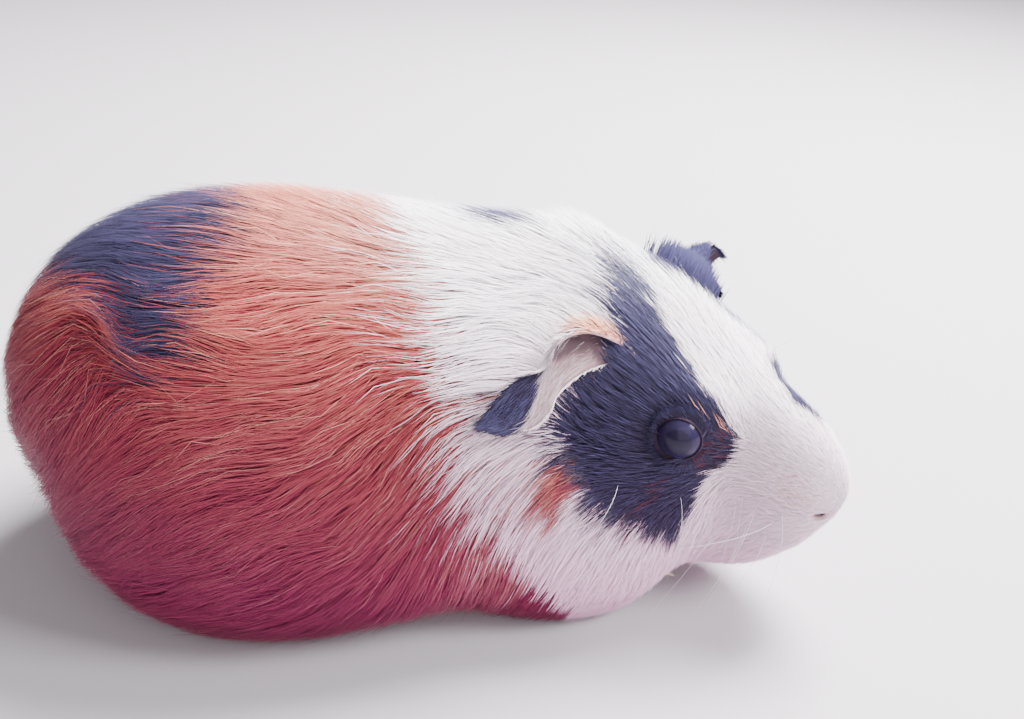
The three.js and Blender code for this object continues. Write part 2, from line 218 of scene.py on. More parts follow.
class Lattice:
    LOW = np.array([-118.0, -70.0, -14.0])
    HIGH = np.array([104.0, 74.0, 108.0])
    PITCH = 2.0

    def __init__(self):
        counts = np.ceil((self.HIGH - self.LOW) / self.PITCH).astype(int) + 1
        axes = [self.LOW[k] + self.PITCH * np.arange(counts[k]) for k in range(3)]
        grid = np.stack(np.meshgrid(*axes, indexing="ij"), -1)
        distance = outline(grid)
        slopes = np.gradient(distance, self.PITCH)
        self.values = np.stack([distance, *slopes], -1)
        self.counts = counts

    def look(self, points):
        """Distance and slope at the points."""
        place = (points - self.LOW) / self.PITCH
        place = np.clip(place, 0, self.counts - 1.001)
        cell = np.floor(place).astype(int)
        f = place - cell
        total = 0
        for corner in range(8):
            step = np.array([corner >> 2 & 1, corner >> 1 & 1, corner & 1])
            weight = np.prod(np.where(step, f, 1 - f), -1)[..., None]
            at = cell + step
            total = total + weight * self.values[at[..., 0], at[..., 1], at[..., 2]]
        return total[..., 0], total[..., 1:]

    def settle(self, points, level, rounds=2):
        """Moves points along the slope to the given distance from the outline."""
        for _ in range(rounds):
            distance, slope = self.look(points)
            steep = (slope ** 2).sum(-1) + 1e-6
            points = points - slope * ((distance - level) / steep)[..., None]
        return points


# ---- Places on the head and limbs, in millimetres; head places are on the head's own axes, left side ----

EAR_UPPER = ((10, 17, 12), (5.2, 27, 18.2), (2.1, 32.2, 19.5), (0.3, 38.9, 18.8),
             (1.8, 44.2, 16), (-1.4, 48.7, 13.1), (-2.7, 53.4, 8.4), (-2.6, 56, 4.6))
EAR_HOLLOW = ((4, 16, 13), (1.8, 23.5, 16.8), (0, 29.8, 17.2), (0.2, 36.3, 14.6),
              (1, 41.5, 11.5), (1.3, 46, 9), (0.4, 51.2, 5.8), (-2.1, 56, 4))
EAR_LOWER = ((9, 17, 8), (7.4, 28.6, 11.8), (5.9, 35.8, 11.4), (5.5, 41.5, 9.8),
             (6.5, 45.2, 7.5), (5.6, 49.2, 4.8), (2, 53.8, 3.2), (-1.6, 56, 3.4))
EAR_SWING = {1: -10.0, -1: 0.0}                  # how far each ear is turned back about the head's upright
EAR_DROOP = {1: -12.0, -1: 0.0}                  # how far it hangs
EAR_GRID = (60, 30)                              # points along and across an ear for its hair and values

EYE_RADIUS = 6.1
EYE_PLACE = (29.0, 2.0)                          # along the head and above its axis
EYE_PROUD = 2.4                                  # how far the ball stands out of the outline
EYE_GAP = 0.1                                    # how much smaller the ball is than its socket
EYE_GRID = (40, 64)                              # rings and points round the ball
CORNEA_BULGE, CORNEA_REACH = 0.15, 0.8           # how far the cornea stands out, and its reach as an angle
EYE_LOOK = (0.26, 0.94, 0.2)                     # the way a left eye looks, on the head's axes
EYE_PARTING, EYE_PARTING_REACH = 17.0, 9.5       # where the hair parts round an eye, and how far
LID_WAY = (1.0, 0.0, -0.12)                      # the way from its hind to its front corner
NOSTRIL = (64.8, 6.0, -6.5)
NOSTRIL_REACH = (2.4, 2.0, 1.0)
NAPE_TUFT, NAPE_REACH = np.array([-8.0, 2.0, 17.0]), (7, 12, 9)
EAR_TUFT, EAR_TUFT_SPREAD = np.array([6.5, 13.0, 15.0]), (3.4, 2.6, 1.4)
WHISKER_PAD, WHISKER_PAD_REACH = np.array([57.0, 11.5, -1.5]), (6.5, 5, 5.5)
# Two places on the trunk: the whorl on the rump and the parting on the withers.
WHORL, WHORL_REACH = np.array([-79.0, -30.0, 74.0]), 17.0
WITHERS, WITHERS_REACH = np.array([-12.0, 6.0, 90.0]), (13, 14, 12)

# Feet of the left side: soft masses (centre, radii, yaw), and the fan of toes in front of them (number,
# middle, distance apart, degrees apart, radii), and how far along the coat's unwrap their hair is.
FORELEG = {
    "masses": (((19, 25, 10), (18, 8.5, 9), -8),
               ((32, 22, 6.5), (10, 6.2, 6), -6),
               ((41, 20, 4.4), (8.5, 6, 4.4), 0)),
    "toes": (4, (48, 20, 2.6), 3.0, 9.0, (5, 1.8, 2.5)),
    "unwrap": 0.945,
}
HINDLEG = {
    "masses": (((-38, 28, 10), (20, 9, 10), 0),
               ((-26, 28, 6), (18, 7, 6), 0),
               ((-15, 29, 4.2), (10, 6.6, 4.4), 0)),
    "toes": (3, (-6, 29.5, 3), 4.0, 8.0, (6, 2.2, 2.8)),
    "unwrap": 0.971,
}
FOOT_HAIR_DEPTH, TOE_HAIR_DEPTH = 0.4, 0.2       # how far the skin of feet and toes lies inside those
TOE_SETBACK = 1.2                                # how far each toe stands behind the next one inwards
FOOT_MELT = 0.6                                  # grain at which the masses melt together
BALL_SEGMENTS, TOE_SEGMENTS = 28, 20


def ear_curves(side, rows):
    """Upper rim, hollow and lower rim of one ear, sampled from the root to the tip."""
    pivot = np.array(EAR_HOLLOW[0], float)
    swing = turn(EAR_SWING[side], 0, EAR_DROOP[side])
    places = np.linspace(0, 1, rows)
    curves = []
    for table in (EAR_UPPER, EAR_HOLLOW, EAR_LOWER):
        local = (np.array(table, float) - pivot) @ swing.T + pivot
        curves.append(through(from_head(local * (1, side, 1)), places)[0])
    return curves


def ear_sheet(side, rows, columns):
    """Inner face of one ear as a grid of points, and the directions that it faces."""
    upper, hollow, lower = ear_curves(side, rows)
    pull = 2 * hollow - (upper + lower) / 2
    f = np.linspace(0, 1, columns)[None, :, None]
    sheet = upper[:, None] * (1 - f) ** 2 + pull[:, None] * 2 * f * (1 - f) + lower[:, None] * f ** 2
    facing = unit(np.cross(np.gradient(sheet, axis=0), np.gradient(sheet, axis=1))) * -side
    return sheet, facing


def eye_centre(side):
    """Where the ball of an eye sits: sideways from the head's axis, standing proud of the outline."""
    inner, outer = 0.0, 40.0
    for _ in range(EYE_HALVINGS):
        middle = (inner + outer) / 2
        deep = outline(from_head([EYE_PLACE[0], side * middle, EYE_PLACE[1]])) < EYE_PROUD - EYE_RADIUS
        inner, outer = (middle, outer) if deep else (inner, middle)
    return from_head([EYE_PLACE[0], side * inner, EYE_PLACE[1]])


def eye_axes(side):
    """Columns: along the lids forward, up across them, and the way the eye looks."""
    look = unit(HEAD_TURN @ (np.array(EYE_LOOK) * (1, side, 1)))
    forward = HEAD_TURN @ np.array(LID_WAY)
    forward = unit(forward - look * (forward @ look))
    return np.stack([forward, np.cross(look, forward) * side, look], 1)


def from_eye(points, side):
    """Places round an eye (along its lids, across them, along its look) and off its axis."""
    off = (points - eye_centre(side)) @ eye_axes(side)
    return off, np.hypot(off[:, 0], off[:, 1])


def from_nostril(local, side):
    """How far places on the head's axes are from the middle of a nostril, 1 at its rim."""
    return np.linalg.norm((local - np.array(NOSTRIL) * (1, side, 1)) / NOSTRIL_REACH, axis=-1)


# ---- Markings: where the coat is white, ginger or black ----

GINGER, WHITE, BLACK = 0, 1, 2

# Edge of the black on one side of the head: distance along the head, and degrees round it from the crown.
FACE_PATCH = ((-12, -5), (0.8, 4.5), (13.6, 22), (22.6, 28.5), (30.6, 37.5), (36.7, 43), (40.4, 46),
              (41.5, 65), (39.5, 78), (39, 90), (40, 104), (41, 120), (36.5, 112), (29.9, 105),
              (24, 101.5), (20, 98), (13.5, 91), (7.5, 85.5), (3.8, 78.5), (2.2, 69), (2, 54), (5, 41),
              (-1.8, 32), (-6.5, 22.5), (-11, 13))
CROWN = -2.0                                     # behind this the patch is on the right side only
NAPE = -25.0                                     # and it ends here
ROUND_SCALE = 0.42                               # millimetres to a degree round the head
# The black on the rump, seen from above: length along the trunk, and distance to the left.
RUMP_PATCH = ((-50.5, -2), (-52, -12), (-54, -23), (-55.5, -29.5), (-58.5, -36.5), (-63, -41.5),
              (-70, -41.5), (-74.5, -35), (-76.5, -28.5), (-81.2, -21.4), (-88.2, -14.5), (-93.4, -8),
              (-99, 1), (-96, 13), (-88, 24), (-76, 31), (-63, 30), (-53, 20))
# Where the ginger stops and the white starts: degrees round the trunk from the top, and length along it.
GINGER_EDGE = ((-180, 31), (-130, 24), (-117, 14.5), (-101, 0), (-81, -5), (-68, -6.5), (-50, -9.5),
               (-36, -12), (-14, -14.5), (8, -18), (20, -17), (45, -9), (70, -3), (95, 5), (120, 10),
               (150, 21), (180, 31))
# Ovals: middle, reach both ways, and how many millimetres the reach stands for.
SADDLE = ((10.5, 13.5), (10, 13), 10)            # black on the withers, seen from above
TONGUE = ((45.5, -36), (10, 34), 6)              # black on the left of the muzzle, along and round the head
CHEEK = ((15, 92), (5.2, 10.5), 2)               # ginger on the right cheek, likewise
CHEEK_GLOW = ((14, 94), (10, 30), 10)            # where the ginger of the cheek is paler
RUMP_START = -40.0                               # behind this the black is the rump's
BACK_HEIGHT = 42.0                               # the markings seen from above stop here
OUTSIDE = 99.0                                   # as far from a marking as matters
RAGGED_EDGE = (1.4, 0.9)                         # how far borders wander by place, and hair by hair
FACE_RAGGED = 0.45                               # the share of that on the face
# Scattered ginger hairs: place along and round the head, reach, share of the hairs, and their brightness.
SPOTS = (
    ((37.0, 62), (3.4, 15), 0.26, -7.5),         # brown in front of the eye
    ((31.5, 98), (1.7, 11), 0.12, -6.5),         # below the eye
    ((37.0, 45), (6.0, 6), 0.07, 3.4),           # peach along the edge of the blaze
    ((57.0, 62), (5.5, 16), 0.14, 3.0),          # on the whisker pad
)
CHEEK_SHIFT, RUMP_SHADE = 1.8, -3.0              # brightness of the ginger cheek, and how much darker the black rump is made as painted shade


def beyond(points, corners):
    """Signed distance of flat points from a closed polygon, negative inside it."""
    corners = np.array(corners, float)
    nearest = np.full(points.shape[:-1], np.inf)
    inside = np.zeros(points.shape[:-1], bool)
    for a, b in zip(corners, np.roll(corners, -1, 0)):
        along, offset = b - a, points - a
        f = np.clip((offset @ along) / (along @ along), 0, 1)
        nearest = np.minimum(nearest, np.linalg.norm(offset - f[..., None] * along, axis=-1))
        crosses = (a[1] > points[..., 1]) != (b[1] > points[..., 1])
        rise = along[1] if along[1] else 1e-9
        inside ^= crosses & (offset[..., 0] < (points[..., 1] - a[1]) * along[0] / rise)
    return np.where(inside, -nearest, nearest)


def waves(points, length, seed):
    """Smooth noise from crossed sine waves, about -1 to 1, with features of the given length."""
    draw = np.random.default_rng(seed)
    total = 0
    for _ in range(7):
        way = unit(draw.normal(size=3)) * 2 * math.pi / length * draw.uniform(0.7, 1.5)
        total = total + np.sin(points @ way + draw.uniform(0, 2 * math.pi))
    return total / 3.2


def outside_oval(places, middle, reach, size):
    """Rough distance of flat places from an oval, negative inside it."""
    return (np.linalg.norm((places - middle) / reach, axis=-1) - 1) * size


def round_head(points):
    """Distance along the head, and degrees round it from the crown, positive on the animal's right."""
    local = to_head(points)
    return local[..., 0], np.degrees(np.arctan2(-local[..., 1], local[..., 2] + 8))


def marking_depths(points):
    """How far each point lies outside the black and outside the ginger, in millimetres, negative inside."""
    along, angle = round_head(points)
    on_head = np.stack([along, angle], -1)
    patch = np.array(FACE_PATCH) * (1, ROUND_SCALE)
    either = beyond(np.stack([along, np.abs(angle) * ROUND_SCALE], -1), patch)
    right = beyond(np.stack([along, angle * ROUND_SCALE], -1), patch)
    face = np.where(along > CROWN, either, right)
    face = np.where(along > NAPE, np.minimum(face, outside_oval(on_head, *TONGUE)), OUTSIDE)
    on_back = points[..., 2] > BACK_HEIGHT
    above = points[..., :2]
    back = np.minimum(beyond(above, RUMP_PATCH), outside_oval(above, *SADDLE))
    black = np.minimum(face, np.where(on_back, back, OUTSIDE))
    around = np.degrees(np.arctan2(points[..., 1] + 3, points[..., 2] - 44))
    edge = np.array(GINGER_EDGE, float)
    ginger = points[..., 0] - np.interp(around, edge[:, 0], edge[:, 1])
    ginger = np.minimum(ginger, np.where(angle > 0, outside_oval(on_head, *CHEEK), OUTSIDE))
    return black, ginger


def coat_kind(points, draw):
    """Which colour of hair shows at each place, with ragged borders, and how its brightness shifts, with
    painted shade on the black of the rump.
    """
    black, ginger = marking_depths(points)
    on_head = np.stack(round_head(points), -1)
    along = on_head[:, 0]
    rough = RAGGED_EDGE[0] * waves(points, 7, seed=31) + draw.normal(0, RAGGED_EDGE[1], len(points))
    rough = rough * np.where(along > 10, FACE_RAGGED, 1.0)
    kind = np.full(len(points), WHITE)
    kind[black + rough < 0] = BLACK
    kind[(ginger + rough < 0) & (kind == WHITE)] = GINGER
    near_cheek = outside_oval(on_head, *CHEEK_GLOW) < 0
    shift = np.where((kind == GINGER) & near_cheek, CHEEK_SHIFT, 0.0)
    # The black of the rump is darkened as painted shade.
    shift[(kind == BLACK) & (points[:, 0] < RUMP_START)] = RUMP_SHADE
    for centre, reach, chance, shade in SPOTS:
        chosen = draw.random(len(points)) < chance * fade(on_head - centre, reach, 4)
        kind[chosen] = GINGER
        shift[chosen] = shade
    return kind, shift


# ---- The lie of the coat: its depth, length and direction over the body ----


# Places along the head or the trunk, and a measure at each of them, in millimetres.
FACE_DEPTH = ((20, 34, 50, 62), (2.2, 1.5, 1.1, 0.7))
BODY_DEPTH, BELLY_THINNING = 5.2, 2.2
FACE_LENGTH = ((16, 32, 44, 62), (8.5, 6.0, 4.6, 2.6))
BODY_LENGTH = ((-90, -40, 0, 30), (24, 21, 18, 16))
CHEEK_REACH, CHEEK_SHORTENING = (10, 20), 0.45   # hair is shorter round the ginger of the cheek
# How steeply the hair falls: places along the trunk, and the fall at each; likewise on the head.
TRUNK_FALL = ((-100, -60, -20, 10, 40), (0.5, 0.5, 0.55, 0.9, 1.6))
HEAD_FALL = ((0, 30, 60), (1.7, 0.9, 0.25))
# Waves in the trunk's coat, up and sideways: how far they turn the hair, their length and their seed.
WAVES_UP = ((0.20, 46, 5), (0.32, 17, 8))
WAVES_ASIDE = ((0.16, 38, 6), (0.22, 15, 9))
SWELL, SWELL_LENGTH, SWELL_START = 0.30, 74.0, -6.0
WHORL_SPIN, WHORL_SPREAD = 14.0, 20.0            # the smaller, the harder the hair turns or fans out there


def faceness(points):
    """1 on the muzzle and face, where the coat is shortest, falling to 0 behind the ears."""
    along, angle = round_head(points)
    back = np.interp(np.abs(angle), (0, 60, 90, 130, 180), (2, 6, 12, 14, 12))
    return ease(along - back, -8, 16)


def coat_depth(points):
    """How deep the skin lies under the outline."""
    face = faceness(points)
    along = to_head(points)[..., 0]
    on_face = np.interp(along, *FACE_DEPTH)
    on_body = BODY_DEPTH - BELLY_THINNING * ease(18 - points[..., 2], 0, 14)
    return on_body * (1 - face) + on_face * face


def coat_length(points):
    """Length of the hair."""
    face = faceness(points)
    on_head = np.stack(round_head(points), -1)
    on_face = np.interp(on_head[..., 0], *FACE_LENGTH)
    on_body = np.interp(points[..., 0], *BODY_LENGTH)
    cheek = fade(on_head - CHEEK[0], CHEEK_REACH, 4)
    return (on_body * (1 - face) + on_face * face) * (1 - CHEEK_SHORTENING * cheek)


def trunk_lie(points):
    """The way of the trunk's hair: back, down the sides, and in long and short waves."""
    x, y, z = (points[..., k] for k in range(3))
    around = np.arctan2(y, z - 40)
    side = np.abs(np.sin(around)) * ease(np.abs(around), 0.3, 1.6)
    way = np.zeros(points.shape)
    way[..., 0] = -1.0
    fall = np.interp(x, *TRUNK_FALL)
    under = ease(34 - z, 0, 26) * ease(x, -50, 5)
    way[..., 2] = -fall * side * (1 + 1.5 * under)
    way[..., 1] = np.sign(y) * 0.22 * np.cos(around).clip(0) * ease(np.abs(y), 0, 25)
    swell = SWELL * side * np.cos((x - SWELL_START) / SWELL_LENGTH * 2 * math.pi)
    way[..., 2] += sum(size * waves(points, length, seed) for size, length, seed in WAVES_UP) - swell
    way[..., 1] += sum(size * waves(points, length, seed) for size, length, seed in WAVES_ASIDE)
    return way


def head_lie(points):
    """The way of the head's hair: back, down the cheeks, and away from the eyes."""
    along, angle = round_head(points)
    low = ease(np.abs(angle), 60, 125)
    way = (np.zeros(points.shape) + HEAD_TURN @ np.array([-1.0, 0, 0])) * (1 - 0.55 * low[..., None])
    way[..., 2] -= 0.75 * low * np.interp(along, *HEAD_FALL)
    for side in (1, -1):
        away = points - from_head([EYE_PLACE[0], side * EYE_PARTING, EYE_PLACE[1]])
        way += unit(away) * (1.1 * fade(away, EYE_PARTING_REACH))[..., None]
    return way


def lie(points, slope):
    """Unit direction in which the hair lies, where the outline rises along the slope."""
    out = unit(slope)
    along, _ = round_head(points)
    on_head = ease(along, -16, 10)[..., None]
    way = trunk_lie(points) * (1 - on_head) + head_lie(points) * on_head
    whorl = points - WHORL
    reach = fade(whorl, WHORL_REACH)[..., None]
    spin = np.cross(out, whorl) / WHORL_SPIN + whorl / WHORL_SPREAD
    way = way * (1 - 0.45 * reach) + spin * 0.8 * reach
    way = way - out * (way * out).sum(-1, keepdims=True)
    return unit(way)


class Body:
    """The outline and the skin under it on one grid, which is also the skin's unwrap."""

    STATIONS = 230
    SIDES = 168
    FLAT = 0.9                                   # height of the skin's flat under the belly

    def __init__(self):
        self.lattice = Lattice()
        origins, rays = body_rays(self.STATIONS, self.SIDES)
        outer = shoot(origins, rays, 0.0)
        self.skin = self.carve(shoot(origins, rays, -coat_depth(outer)))
        self.skin[..., 2] = np.maximum(self.skin[..., 2], self.FLAT)
        wrapped = np.concatenate([outer, outer[:, :1]], 1)
        self.skin_wrapped = np.concatenate([self.skin, self.skin[:, :1]], 1)
        along = wrapped[1:, :-1] - wrapped[:-1, :-1]
        across = wrapped[:-1, 1:] - wrapped[:-1, :-1]
        self.cell_area = np.linalg.norm(np.cross(along, across), axis=-1)
        self.cell_middle = (wrapped[1:, 1:] + wrapped[:-1, :-1] + wrapped[1:, :-1] + wrapped[:-1, 1:]) / 4

    @staticmethod
    def carve(points):
        """Presses the nostrils, the cleft under the nose and the mouth into the muzzle."""
        local = to_head(points)
        x, y, z = local[..., 0], local[..., 1], local[..., 2]
        inward = np.zeros(points.shape)
        for sign in (1, -1):
            inward += np.array([-1.5, -sign * 0.3, 0]) * np.exp(-from_nostril(local, sign) ** 2)[..., None]
        cleft = np.exp(-(y / 0.7) ** 2) * ease(-z, 7.5, 9.5) * ease(z, -24, -21) * ease(x, 54, 60)
        mouth = np.exp(-((z + 22 + 0.10 * (62 - x)) / 0.9) ** 2) * ease(x, 46, 54)
        inward += np.array([-1.1, 0, 0]) * cleft[..., None]
        inward += np.array([-1.0, 0, 0]) * mouth[..., None]
        inward[..., 1] -= np.sign(y) * 1.3 * mouth * np.clip(np.abs(y) / 4, 0, 1)
        return points + inward @ HEAD_TURN.T

    def place_of(self, points):
        """Places on the unwrap of the skin's points that are nearest to the given ones."""
        step = 2
        flat = self.skin[::step, ::step].reshape(-1, 3)
        row, column = np.divmod(nearest(points, flat), -(-self.SIDES // step))
        return np.stack([row * step / (self.STATIONS - 1), column * step / self.SIDES], -1)

    def scatter(self, density, count, draw):
        """Roots on the skin, evenly spread by area times density, with their places on the unwrap."""
        weight = np.cumsum((self.cell_area * density(self.cell_middle)).ravel())
        picks = (np.arange(count) + draw.random(count)) / count * weight[-1]
        i, j = np.divmod(np.searchsorted(weight, picks), self.SIDES)
        f, g = draw.random((2, count, 1))
        blend = lambda grid: ((grid[i, j] * (1 - g) + grid[i, j + 1] * g) * (1 - f)
                              + (grid[i + 1, j] * (1 - g) + grid[i + 1, j + 1] * g) * f)
        place = np.stack([(i + f[:, 0]) / (self.STATIONS - 1), (j + g[:, 0]) / self.SIDES], -1)
        return blend(self.skin_wrapped), place


@functools.cache
def the_body():
    """The body, worked out once."""
    return Body()


# ---- Making meshes from arrays ----


def new_object(name, data):
    """Puts a mesh, a light or a camera in the scene."""
    piece = bpy.data.objects.new(name, data)
    bpy.context.collection.objects.link(piece)
    return piece


def new_mesh(name, points, faces):
    """A smooth mesh from points in millimetres and faces that all have the same number of corners."""
    points = np.asarray(points, float).reshape(-1, 3) * MM
    faces = np.asarray(faces, np.int32)
    corners = faces.shape[1]
    mesh = bpy.data.meshes.new(name)
    mesh.vertices.add(len(points))
    mesh.vertices.foreach_set("co", points.ravel().astype(np.float32))
    mesh.loops.add(faces.size)
    mesh.loops.foreach_set("vertex_index", faces.ravel())
    mesh.polygons.add(len(faces))
    mesh.polygons.foreach_set("loop_start", np.arange(0, faces.size, corners, dtype=np.int32))
    mesh.update(calc_edges=True)
    mesh.shade_smooth()
    return new_object(name, mesh)


def add_values(piece, name, values):
    """One number for each vertex, for the material to read."""
    attribute = piece.data.attributes.new(name, "FLOAT", "POINT")
    attribute.data.foreach_set("value", np.asarray(values, np.float32).ravel())


def points_of(piece):
    """A piece's points, in millimetres."""
    points = np.empty(len(piece.data.vertices) * 3, np.float32)
    piece.data.vertices.foreach_get("co", points)
    return points.reshape(-1, 3).astype(float) / MM


def set_points(piece, points):
    """Moves a piece's points to places in millimetres."""
    piece.data.vertices.foreach_set("co", (points * MM).ravel().astype(np.float32))


def face_outwards(piece):
    """Turns all faces the same way round, outwards."""
    work = bmesh.new()
    work.from_mesh(piece.data)
    bmesh.ops.recalc_face_normals(work, faces=work.faces)
    if work.calc_volume(signed=True) < 0:
        bmesh.ops.reverse_faces(work, faces=work.faces)
    work.to_mesh(piece.data)
    work.free()


def tube_faces(rows, columns):
    """Quads of a grid of points that closes round across its columns."""
    i, j = np.meshgrid(np.arange(rows - 1), np.arange(columns), indexing="ij")
    k = (j + 1) % columns
    quads = np.stack([i * columns + j, i * columns + k, (i + 1) * columns + k, (i + 1) * columns + j], -1)
    return quads.reshape(-1, 4)


def closed_loft(name, rings):
    """A closed mesh through rings of points, with a point in the middle of each end ring."""
    rows, columns = rings.shape[:2]
    points = np.concatenate([rings.reshape(-1, 3), rings[:1].mean(1), rings[-1:].mean(1)])
    quads = tube_faces(rows, columns)
    tris = [(a, b, c) for q in quads for a, b, c in ((q[0], q[1], q[2]), (q[0], q[2], q[3]))]
    j = np.arange(columns)
    k = (j + 1) % columns
    first, last = rows * columns, rows * columns + 1
    tris += list(zip(k, j, np.full(columns, first)))
    tris += list(zip(j + (rows - 1) * columns, k + (rows - 1) * columns, np.full(columns, last)))
    piece = new_mesh(name, points, tris)
    face_outwards(piece)
    return piece


def unite(target, others):
    """Joins closed pieces into the target by boolean unions, and removes them."""
    for other in others:
        join = target.modifiers.new("join", "BOOLEAN")
        join.operation = "UNION"
        join.solver = "MANIFOLD"
        join.object = other
        take_evaluated(target)
        bpy.data.objects.remove(other)


def take_evaluated(piece):
    """Replaces a piece's mesh by its modifiers' result, and removes the modifiers."""
    depsgraph = bpy.context.evaluated_depsgraph_get()
    result = bpy.data.meshes.new_from_object(piece.evaluated_get(depsgraph))
    result.name = piece.name
    old = piece.data
    piece.modifiers.clear()
    piece.data = result
    bpy.data.meshes.remove(old)


# ---- Hair: each hair or lock is a thin closed tube of three sides that runs out to a point ----

# Corner and size of each part's area on the coat's unwrap. Below the body are the ears' four faces in a
# row, one every EAR_UNWRAP_STEP, with a fringe beside each of the first two, and the feet at the end.
BODY_UNWRAP = (0.0, 0.13, 1.0, 0.87)
EAR_UNWRAP = (0.02, 0.005, 0.2, 0.115)
FRINGE_UNWRAP = (0.225, 0.005, 0.02, 0.1)
EAR_UNWRAP_STEP = 0.24
FOOT_UNWRAP = (0.0, 0.005, 0.008, 0.11)
FOOT_UNWRAP_STEP = 0.011                         # from the hair behind to the hair in front on each mass
HAIR_PATCH = 0.003                               # size of one hair's patch on the unwrap
SOFTNESS = 0.85                                  # how far hair is shaded as part of the coat
STEPS = np.linspace(0, 1, 3)[None, :, None]      # how far along a short hair its points are
MOST_TRIANGLES = 190000                          # in one piece of the coat
LOCK_SIZE, LOCK_HOLD = 12, (0.05, 0.6)           # hairs to a lock, and how tightly it holds them
TIP_RISE, LOCK_CLOSE = 0.75, 1.4                 # powers: how early hair rises, how late locks close
STRAY_SHARE = 0.03                               # share of the hairs that stand out of the coat
PALE_SHARE, PALE_TONE = 0.07, 3.0                # share of much paler hairs, and how much paler they are
# Widths of the body's hairs as shares of the setting, and how common each is.
BODY_WIDTHS, WIDTH_SHARES = (0.7, 0.95, 1.35), (0.35, 0.4, 0.25)
# Steps along a hair at which the marking gives it its colour, and how common each is: the root's colour
# shows through where the hair over it is thin, and the rest are coloured towards their tips.
COLOUR_STEPS, STEP_SHARES = (0.0, 1.4, 2.0, 2.6), (0.11, 0.2, 0.34, 0.35)
# Places along the head, and how thickly its hairs stand or how wide they are at each.
FACE_DENSITY = ((10, 40, 62), (1.0, 1.5, 2.4))
FACE_WIDTHS = ((10, 40, 62), (1.0, 0.8, 0.62))
BODY_SLIMMING = np.array([1.1, 0.95, 0.58])      # a long hair's width at each of its rings
SHORT_SLIMMING = np.array([1.0, 0.9])            # and a short hair's


class Hairs:
    """A crop of hairs: paths, outward directions, widths, places on the unwrap, kinds and tones."""

    def __init__(self, path, out, width, place, kind, tone):
        self.path, self.out, self.width = path, out, width
        self.place, self.kind, self.tone = place, kind, tone

    def __len__(self):
        return len(self.path)

    def take(self, chosen):
        """Some of the hairs."""
        return Hairs(*(values[chosen] for values in (self.path, self.out, self.width,
                                                     self.place, self.kind, self.tone)))

    def triangles_each(self):
        """Triangles in each hair: six between rings, one at the root and three at the tip."""
        return 6 * (self.path.shape[1] - 2) + 4


def hair_piece(name, hairs, slimming):
    """One mesh of many hairs, with each hair's patch on the unwrap and its values for the material."""
    count, steps = hairs.path.shape[:2]
    tangent = np.gradient(hairs.path, axis=1)
    across = unit(np.cross(hairs.out, tangent))
    up = unit(np.cross(tangent, across))
    half = (hairs.width[:, None] * slimming[None, :steps - 1])[..., None] / 2
    rings = np.stack([across[:, :-1] * half, up[:, :-1] * half * 0.7, -across[:, :-1] * half], 2)
    rings = rings + hairs.path[:, :-1, None]
    points = np.concatenate([rings.reshape(count, -1, 3), hairs.path[:, -1:]], 1)
    each = points.shape[1]
    faces = [(0, 2, 1)]
    for ring in range(steps - 2):
        for side in range(3):
            a, b = ring * 3 + side, ring * 3 + (side + 1) % 3
            faces += [(a, b, b + 3), (a, b + 3, a + 3)]
    last = (steps - 2) * 3
    faces += [(last + side, last + (side + 1) % 3, each - 1) for side in range(3)]
    faces = (np.array(faces)[None] + np.arange(count)[:, None, None] * each).reshape(-1, 3)
    points[..., 2] = np.maximum(points[..., 2], FLOOR_CLEARANCE)
    piece = new_mesh(name, points, faces)
    centre = np.concatenate([np.repeat(hairs.path[:, :-1], 3, 1), hairs.path[:, -1:]], 1)
    facing = np.concatenate([np.repeat(hairs.out[:, :-1], 3, 1), hairs.out[:, -1:]], 1)
    facing = unit(unit(points - centre) * (1 - SOFTNESS) + facing * SOFTNESS)
    piece.data.normals_split_custom_set_from_vertices(facing.reshape(-1, 3))

    along = np.append(np.repeat(np.linspace(0, 1, steps)[:-1], 3), 1.0)
    sideways = np.append(np.tile((0.0, 0.5, 1.0), steps - 1), 0.5)
    patch = hairs.place[:, None] + np.stack([sideways, along], -1)[None] * HAIR_PATCH
    layer = piece.data.uv_layers.new(name="OFBake")
    patch = np.clip(patch, 0, 1).reshape(-1, 2)[faces.ravel()]
    layer.uv.foreach_set("vector", patch.ravel().astype(np.float32))
    add_values(piece, "along", np.tile(along, count))
    add_values(piece, "tone", np.repeat(hairs.tone, each))
    return piece


def on_unwrap(area, across, up, step=0.0):
    """Places in an area of the unwrap, moved a step along it."""
    x, y, wide, high = area
    return np.stack([x + step + across * wide, y + up * high], -1)


def straight(roots, way, length):
    """Paths of short hairs that run straight from their roots."""
    return roots[:, None] + (way * length[:, None])[:, None] * STEPS


def each_step(out):
    """One outward direction for all the steps of a short hair."""
    return np.repeat(out[:, None], STEPS.size, 1)


def nearest(points, centres):
    """Index of the nearest centre to each point."""
    tree = KDTree(len(centres))
    for i, centre in enumerate(centres):
        tree.insert(centre, i)
    tree.balance()
    return np.array([tree.find(point)[1] for point in points])


def walk(roots, length, root_level, tip_level, steps, turn_by):
    """Paths from the roots along the lie of the coat, rising from one distance to another."""
    lattice = the_body().lattice
    path, outs = [roots], []
    here = roots
    for k in range(1, steps):
        distance, slope = lattice.look(here)
        out = unit(slope)
        outs.append(out)
        way = lie(here, slope)
        swing = turn_by * math.sin(math.pi * (k - 0.5) / (steps - 1) * 1.4 + 0.3)
        way = unit(way + np.cross(out, way) * swing[:, None])
        here = here + way * (length / (steps - 1))[:, None]
        level = root_level + (tip_level - root_level) * (k / (steps - 1)) ** TIP_RISE
        here = lattice.settle(here, level, 1)
        path.append(here)
    outs.append(outs[-1])
    return np.stack(path, 1), np.stack(outs, 1)


